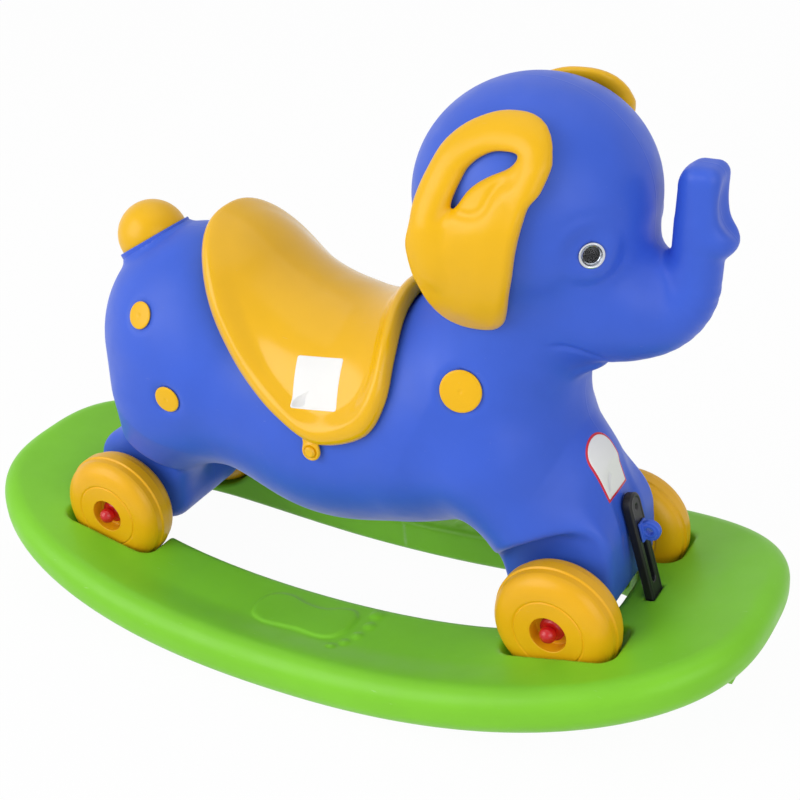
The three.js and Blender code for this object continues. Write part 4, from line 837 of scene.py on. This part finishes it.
points, quads = skin(ear_form, *EAR_BOX, EAR_STEP)
points[:, 2] -= (points[:, 1] - DISH_UP) ** 2 / (2 * DISH_RADIUS)
ear_points = np.stack([EAR_X + points[:, 0], -EAR_OUT - points[:, 2], EAR_Z + points[:, 1]], -1)
ear_points = ear_points - NESTLE * step_up(points[:, 1], -5, 45)[:, None] * CHEEK_OUT
PEG_RADIUS, PEG_LENGTH, PEG_AT = 13, 24, (196.0, -106.0, 436.0)
peg_profile = rounded([(0, 0), (PEG_RADIUS, 0), (PEG_RADIUS, PEG_LENGTH), (0, PEG_LENGTH)], 1)
for side, sign in SIDES:
    ring = quads if sign > 0 else quads[:, ::-1]
    ear = mesh_object(f"ear_{side}_fine", ear_points * (1, sign, 1), ring)
    finish_piece(ear, TRIM, f"ear_{side}")
for side, sign in SIDES:
    peg = lathe(f"ear_peg_{side}", peg_profile, 48, place_along(PEG_AT * np.array([1, sign, 1]), (0, sign, 0)))
    finish_piece(peg, TRIM)

# ---- wheels and caps
BORE, RECESS_RADIUS, RECESS_DEPTH, BOSS_RADIUS, BOSS_LENGTH = 5.6, 17, 13, 15, 5
FACE_RADIUS, FACE_RIDGE, SHOULDER_RUN, SHOULDER_RISE, SHOULDER_POWER = 32.5, 0.9, 23.8, 16.5, 2.6
TREAD = [(56.3, SHOULDER_RISE), (WHEEL_RADIUS, 17.7)]
shoulder = [(FACE_RADIUS + SHOULDER_RUN * s, SHOULDER_RISE * (1 - math.sqrt(1 - s ** SHOULDER_POWER)) * 0.92)
            for s in np.linspace(0.08, 0.97, 22)]
near_side = [(BORE, RECESS_DEPTH), (RECESS_RADIUS, RECESS_DEPTH), (RECESS_RADIUS, 0), (31.4, 0), (32.0, 0.2),
             (FACE_RADIUS, FACE_RIDGE)] + shoulder + TREAD
far_side = [(r, WHEEL_WIDTH - a) for r, a in (shoulder + TREAD)[::-1]] + [
    (FACE_RADIUS, WHEEL_WIDTH - FACE_RIDGE), (31.6, WHEEL_WIDTH), (BOSS_RADIUS, WHEEL_WIDTH),
    (BOSS_RADIUS, WHEEL_WIDTH + BOSS_LENGTH), (BORE, WHEEL_WIDTH + BOSS_LENGTH)]
wheel_profile = rounded(near_side + far_side, 0.9, closed=True)
CAP_INSET, CAP_RADIUS, CAP_BASE, CAP_HOLE, CAP_DEPTH, KNOB_RADIUS = 12.5, 11.5, 3, 5.3, 9, 7.6
cap_base = rounded([(0, CAP_DEPTH), (CAP_HOLE, CAP_DEPTH), (CAP_HOLE, 0), (CAP_RADIUS, 0),
                    (CAP_RADIUS, CAP_BASE)], 0.6)
cap_neck = [(9.5, 3.3), (7.6, 4.2), (6.7, 5.4)]
cap_profile = np.vstack([cap_base, cap_neck, dome(KNOB_RADIUS, KNOB_RADIUS, 11.4, -0.62, 22)])
for end, axle_x in AXLE_X.items():
    for side, sign in SIDES:
        face_y = -sign * WHEEL_OUTER
        place = place_along((axle_x, face_y, AXLE_Z), (0, sign, 0))
        wheel = lathe(f"wheel_{end}_{side}_fine", wheel_profile, 128, place)
        finish_piece(wheel, WHEEL, f"wheel_{end}_{side}", body=f"{end}_{side}_wheel", weighted=True)
        place = place_along((axle_x, face_y + sign * CAP_INSET, AXLE_Z), (0, -sign, 0))
        cap = lathe(f"axle_cap_{end}_{side}_fine", cap_profile, 64, place)
        finish_piece(cap, RED, f"axle_cap_{end}_{side}", weighted=True)

# ---- strap and tow eye
STRAP_HALF, STRAP_THICKNESS, STRAP_EDGE, SLOT_AT, SLOT_HALF, SLOT_RADIUS = 11.5, 4, 1.2, 60, 24.3, 3.7
DIMPLE_AT, DIMPLE_UP, DIMPLE_RADIUS, RAISED_IN, RAISED_HALF, RAISED_UP = 13, 1.4, 3.2, 2.6, 0.9, 0.5
STRAP_BOX, STRAP_STEP = ((-15, -3, -2), (15, STRAP_LENGTH + 3, 10)), 0.8


def strap_form(u, v, w):
    """u across, v down, w into the strap's thickness."""
    outline = np.where(v < STRAP_HALF, np.hypot(u, v - STRAP_HALF) - STRAP_HALF,
                       np.maximum(np.abs(u) - STRAP_HALF, v - STRAP_LENGTH))
    slot = np.hypot(u, np.maximum(np.abs(v - SLOT_AT) - SLOT_HALF, 0)) - SLOT_RADIUS
    d = round_max(np.maximum(outline, -slot), np.abs(w - STRAP_THICKNESS) - STRAP_THICKNESS, STRAP_EDGE)
    dimple = np.sqrt(u ** 2 + (v - DIMPLE_AT) ** 2 + (w + DIMPLE_UP) ** 2) - DIMPLE_RADIUS
    raised = np.maximum(np.abs(outline + RAISED_IN) - RAISED_HALF, np.abs(w) - RAISED_UP)
    return smooth_max(smooth_min(d, raised, 0.8), -dimple, 0.8)


points, quads = skin(strap_form, *STRAP_BOX, STRAP_STEP)
across, down, into = np.array([0, 1.0, 0]), STRAP_DOWN, -STRAP_OUT
points = STRAP_TOP + points[:, :1] * across + points[:, 1:2] * down + points[:, 2:] * into
finish_piece(mesh_object("latch_bolt_fine", points, quads), BLACK, "latch_bolt", body="latch")

TOW_DROP, TOW_AHEAD, TOW_BOX, TOW_STEP = 36.5, 8, ((-28, -9, -16), (12, 9, 16)), 0.6
TOW_RADIUS, TOW_HALF, TOW_HOLE, BOSS_OUTER, BOSS_HALF, TOW_FACE = 9.5, 3, 3.6, 6, 3.6, 0.3
PLATE_HALF, PLATE_RISE, PLATE_OUT, PLATE_THICK, SHANK_RADIUS, SHANK_IN, SHANK_HALF = 6.5, 9, 1.3, 1, 3.2, 7.7, 9


def tow_form(u, v, w):
    """u forward, v sideways, w up, about the ring's middle."""
    r = np.hypot(u, w)
    ring = round_max(np.maximum(r - TOW_RADIUS, TOW_HOLE - r), np.abs(v) - TOW_HALF, 1)
    boss = round_max(np.maximum(r - BOSS_OUTER, TOW_HOLE - r), np.abs(v) - BOSS_HALF, 0.6)
    down, out = over_strap(u, w)
    out = out + TOW_AHEAD
    ring = np.maximum(smooth_min(ring, boss, 0.8), TOW_FACE - out)
    plate = np.maximum(np.abs(v) - PLATE_HALF, np.abs(down) - PLATE_RISE)
    plate = np.maximum(plate, np.abs(out - PLATE_OUT) - PLATE_THICK)
    shank = np.maximum(np.hypot(v, down) - SHANK_RADIUS, np.abs(out + SHANK_IN) - SHANK_HALF)
    return smooth_min(smooth_min(ring, plate, 1.5), shank, 0.6)


points, quads = skin(tow_form, *TOW_BOX, TOW_STEP)
points = points + (STRAP_TOP + STRAP_DOWN * TOW_DROP + STRAP_OUT * TOW_AHEAD)
finish_piece(mesh_object("tow_eye_fine", points, quads), BODY, "tow_eye")

# ---- rocker
HALF_LONG, HALF_WIDE, SQUARE = 412, 190, 2.73
HOLE_FRONT, HOLE_REAR, HOLE_WIDE, HOLE_SQUARE, HOLE_EDGE = 275, 283, 72, 4, 8
DEEP, RIM_ROUND, BEND_RADIUS, BEND_DROP = 46.5, 20.5, 1366, 1.6
DISH, DISH_HALF, DISH_FROM, DISH_TO = 7, 260, 16, 58
WELL_RADIUS, WELL_Z, WELL_OUTER, WELL_INNER, WELL_ROUND = 61, 89.7, 109.5, 52, 14
POCKET_HALF, POCKET_PLAY, POCKET_BACK = 12.5, 1, 9
STOP_X, STOP_HALF, STOP_WIDE, STOP_UP, STOP_HIGH, STOP_ROUND = 376, 12, 52, 7, 13, 3
# A footprint on each rail: its sole, and each toe's x, y and radius
SOLE = spline([(-56, 114), (-53, 101), (-44, 93), (-30, 91), (-12, 96), (8, 97), (24, 90), (37, 88), (45, 96),
               (47, 110), (44, 124), (36, 133), (22, 136), (2, 134), (-18, 136), (-38, 137), (-51, 130)],
              60, closed=True)
TOES = [(60, 86, 6.0), (62, 104, 4.6), (59, 121, 4.4), (53, 134, 4.2), (45, 144, 3.8)]
SOLE_HEIGHT, TOE_HEIGHT, STEPS_FROM = 2.0, 1.8, 25
ROCKER_BOX = (-420, -198, -8), (420, 198, 120)
ROCKER_STEP = 2.5


def oval(x, y, a, b, n):
    u, v = np.maximum(np.abs(x) / a, 1e-6), np.maximum(np.abs(y) / b, 1e-6)
    s = (u ** n + v ** n) ** (1 / n)
    gx = (u / s) ** (n - 1) / a
    gy = (v / s) ** (n - 1) / b
    return (s - 1) / np.hypot(gx, gy)


def footprint(x, side):
    """How far the footprint on a rail stands up."""
    mark = SOLE_HEIGHT * step_up(-polygon_distance(x, side, SOLE), -1.8, 1.8)
    for tx, ty, radius in TOES:
        mark = mark + TOE_HEIGHT * step_up(radius - np.hypot(x - tx, side - ty), -1.5, 1.5)
    return mark


def bend(x):
    """Height of the rocker's underside."""
    return x ** 2 / (2 * BEND_RADIUS) - BEND_DROP


def rocker_form(x, y, z):
    side = np.abs(y)
    rise = z - bend(x)
    outer = oval(x, y, HALF_LONG, HALF_WIDE, SQUARE)
    hole = oval(x, y, np.where(x > 0, HOLE_FRONT, HOLE_REAR), HOLE_WIDE, HOLE_SQUARE)
    dish = DISH * np.maximum(0, 1 - (x / DISH_HALF) ** 2)
    top = DEEP - dish * step_up(-outer, DISH_FROM, DISH_TO)
    d = round_max(outer, np.abs(rise - top / 2) - top / 2, RIM_ROUND)
    d = round_max(d, -hole, HOLE_EDGE)
    for cx in AXLE_X.values():
        fall = np.hypot(x - cx, np.minimum(z - WELL_Z, 0)) - WELL_RADIUS
        well = round_max(round_max(fall, side - WELL_OUTER, WELL_ROUND), WELL_INNER - side, WELL_ROUND)
        d = round_max(d, -well, 3)
    down, out = over_strap(x - STRAP_TOP[0], z - STRAP_TOP[2])
    pocket = np.maximum(np.maximum(side - POCKET_HALF, down - STRAP_LENGTH - POCKET_PLAY),
                        np.maximum(out - POCKET_PLAY, -out - POCKET_BACK))
    d = round_max(d, -pocket, 1)
    for end in (-1, 1):
        tilt = -end * math.atan(STOP_X / BEND_RADIUS)
        bx, bz = x - end * STOP_X, z - bend(STOP_X)
        lx, lz = bx * math.cos(tilt) - bz * math.sin(tilt), bx * math.sin(tilt) + bz * math.cos(tilt)
        stop = np.maximum(np.maximum(np.abs(lx) - STOP_HALF, side - STOP_WIDE), np.abs(lz - STOP_UP) - STOP_HIGH)
        d = smooth_min(d, stop - STOP_ROUND, 5)
    d = d - footprint(x, side) * (rise > STEPS_FROM)
    return round_max(d, -z, 1)


points, quads = skin(rocker_form, *ROCKER_BOX, ROCKER_STEP)
finish_piece(mesh_object("rocker_fine", points, quads), GREEN, "rocker")

# ---- paper labels, left blank
SHEET_RINGS = (0.0, 0.2, 0.4, 0.6, 0.8, 0.93, 0.985, 1.0)
SHEET_START, SHEET_THICK, SHEET_CURL, SHEET_POINTS = 30, 0.5, 0.12, 96


def drape(name, carrier, middle, across, up, outline, lift, finish):
    """A thin sheet with a given outline, pressed onto a piece's skin and closed underneath."""
    tree = BVHTree.FromObject(carrier, bpy.context.evaluated_depsgraph_get())
    across, up = unit(np.array(across, float)), np.array(up, float)
    up = unit(up - across * (up @ across))
    out = np.cross(across, up)
    count = len(outline)
    points = []
    for share in SHEET_RINGS:
        for u, v in (outline * share if share else [(0, 0)]):
            start = middle + across * u + up * v
            hit = tree.ray_cast(Vector((start + out * SHEET_START) * MM), Vector(-out))
            spot, normal = np.array(hit[0]) / MM, np.array(hit[1])
            points.append(spot + normal * (lift if share < 1 else lift - SHEET_CURL))
    points += [p - out * SHEET_THICK for p in points[-count:]]
    points.append(points[0] - out * SHEET_THICK)
    finish_piece(mesh_object(name, points, leaf_faces(len(SHEET_RINGS), count)), finish)


def spread(points):
    """The same closed outline with evenly spaced points."""
    return evenly(np.vstack([points, points[:1]]), SHEET_POINTS + 1)[:-1]


def round_rectangle(width, height, corner):
    a, b = width / 2, height / 2
    corners = [(a, -b), (a, b), (-a, b), (-a, -b)]
    return spread(rounded(corners, corner, 5, closed=True))


def arch(width, height, inset=0.0):
    half, foot = width / 2 - inset, inset - height / 2
    spring = height / 2 - width / 2
    top = [(half * math.cos(t), spring + half * math.sin(t)) for t in np.linspace(0, math.pi, 25)]
    return spread(np.array([(half, foot)] + top + [(-half, foot)]))


# Each label's middle, and its ways across and up
SADDLE_LABEL = np.array([23.0, -88.0, 278.0]), (1, 0.04, 0.1), (-0.13, 0.54, 0.83)
CHEST_LABEL = np.array([259.0, -9.0, 207.5]), (0.14, 0.98, 0.17), (-0.6, 0.3, 0.74)
STICKER, STICKER_BORDER, UNDER_LIFT, OVER_LIFT = (39, 55), 2.2, 0.15, 0.45
drape("label_saddle", saddle, *SADDLE_LABEL, round_rectangle(44, 47, 2), UNDER_LIFT, PAPER)
drape("label_chest_border", body, *CHEST_LABEL, arch(*STICKER), UNDER_LIFT, BORDER)
drape("label_chest", body, *CHEST_LABEL, arch(*STICKER, STICKER_BORDER), OVER_LIFT, PAPER)

# ---- camera, floor and light
# The camera's place and axes, solved on the photograph
CAMERA_AT, CAMERA_LENS, CAMERA_SENSOR = (0.68193, -1.02776, 0.85683), 66.19, 36
CAMERA_RIGHT, CAMERA_UP = (0.86907, 0.48961, -0.07073), (-0.17420, 0.43672, 0.88257)
CAMERA_BACK = (0.46300, -0.75469, 0.46483)
camera_data = bpy.data.cameras.new("view")
camera_data.lens = CAMERA_LENS
camera_data.sensor_width = CAMERA_SENSOR
camera = bpy.data.objects.new("view", camera_data)
scene.collection.objects.link(camera)
camera_axes = Matrix((CAMERA_RIGHT, CAMERA_UP, CAMERA_BACK)).transposed()
camera.matrix_world = Matrix.Translation(CAMERA_AT) @ camera_axes.to_4x4()
scene.camera = camera

scene.view_settings.view_transform = "Standard"

WHITE, SKY_STRENGTH, FLOOR_GREY, FLOOR_SHOWN, FLOOR_HALF = (1, 1, 1, 1), 0.46, (0.86, 0.86, 0.86, 1), 0.97, 9000


def shown_white(tree, shader_socket, share):
    """A mix that camera, gloss and clear rays see as part of its second shader."""
    path = tree.nodes.new("ShaderNodeLightPath").outputs
    seen = math_of(tree, "MAXIMUM", path["Is Camera Ray"], path["Is Glossy Ray"])
    seen = math_of(tree, "MAXIMUM", seen, path["Is Transmission Ray"])
    mix = tree.nodes.new("ShaderNodeMixShader")
    tree.links.new(math_of(tree, "MULTIPLY", seen, share), mix.inputs[0])
    tree.links.new(shader_socket, mix.inputs[1])
    return mix


scene.world = world = bpy.data.worlds.new("studio")
world.use_nodes = True
tree = world.node_tree
plain = tree.nodes["Background"]
plain.inputs["Color"].default_value = WHITE
plain.inputs["Strength"].default_value = SKY_STRENGTH
white = node_of(tree, "ShaderNodeBackground", Color=WHITE, Strength=1.0)
mix = shown_white(tree, plain.outputs[0], 1.0)
tree.links.new(white.outputs[0], mix.inputs[2])
tree.links.new(mix.outputs[0], tree.nodes["World Output"].inputs["Surface"])

corners = FLOOR_HALF * np.array([(-1, -1, 0), (1, -1, 0), (1, 1, 0), (-1, 1, 0)])
floor = mesh_object("floor", corners, [[0, 1, 2, 3]])
floor_material = bpy.data.materials.new("floor_white")
floor_material.use_nodes = True
tree = floor_material.node_tree
shader = tree.nodes["Principled BSDF"]
shader.inputs["Base Color"].default_value = FLOOR_GREY
shader.inputs["Roughness"].default_value = 0.9
shader.inputs["Specular IOR Level"].default_value = 0.0
mix = shown_white(tree, shader.outputs[0], FLOOR_SHOWN)
glow = tree.nodes.new("ShaderNodeEmission")
tree.links.new(glow.outputs[0], mix.inputs[2])
tree.links.new(mix.outputs[0], tree.nodes["Material Output"].inputs["Surface"])
floor.data.materials.append(floor_material)

AIM = (0, 0, 0.25)


def softbox(name, place, size, watts):
    data = bpy.data.lights.new(name, "AREA")
    data.shape = "RECTANGLE"
    data.size = data.size_y = size
    data.energy = watts
    lamp = bpy.data.objects.new(name, data)
    scene.collection.objects.link(lamp)
    lamp.location = place
    lamp.rotation_euler = (Vector(AIM) - Vector(place)).to_track_quat("-Z", "Y").to_euler()


softbox("key", (-1.8, -2.5, 1.9), 2.6, 62)
softbox("fill", (2.6, -1.8, 1.5), 2.2, 28)
softbox("top", (0.0, 0.4, 3.2), 3.0, 16)
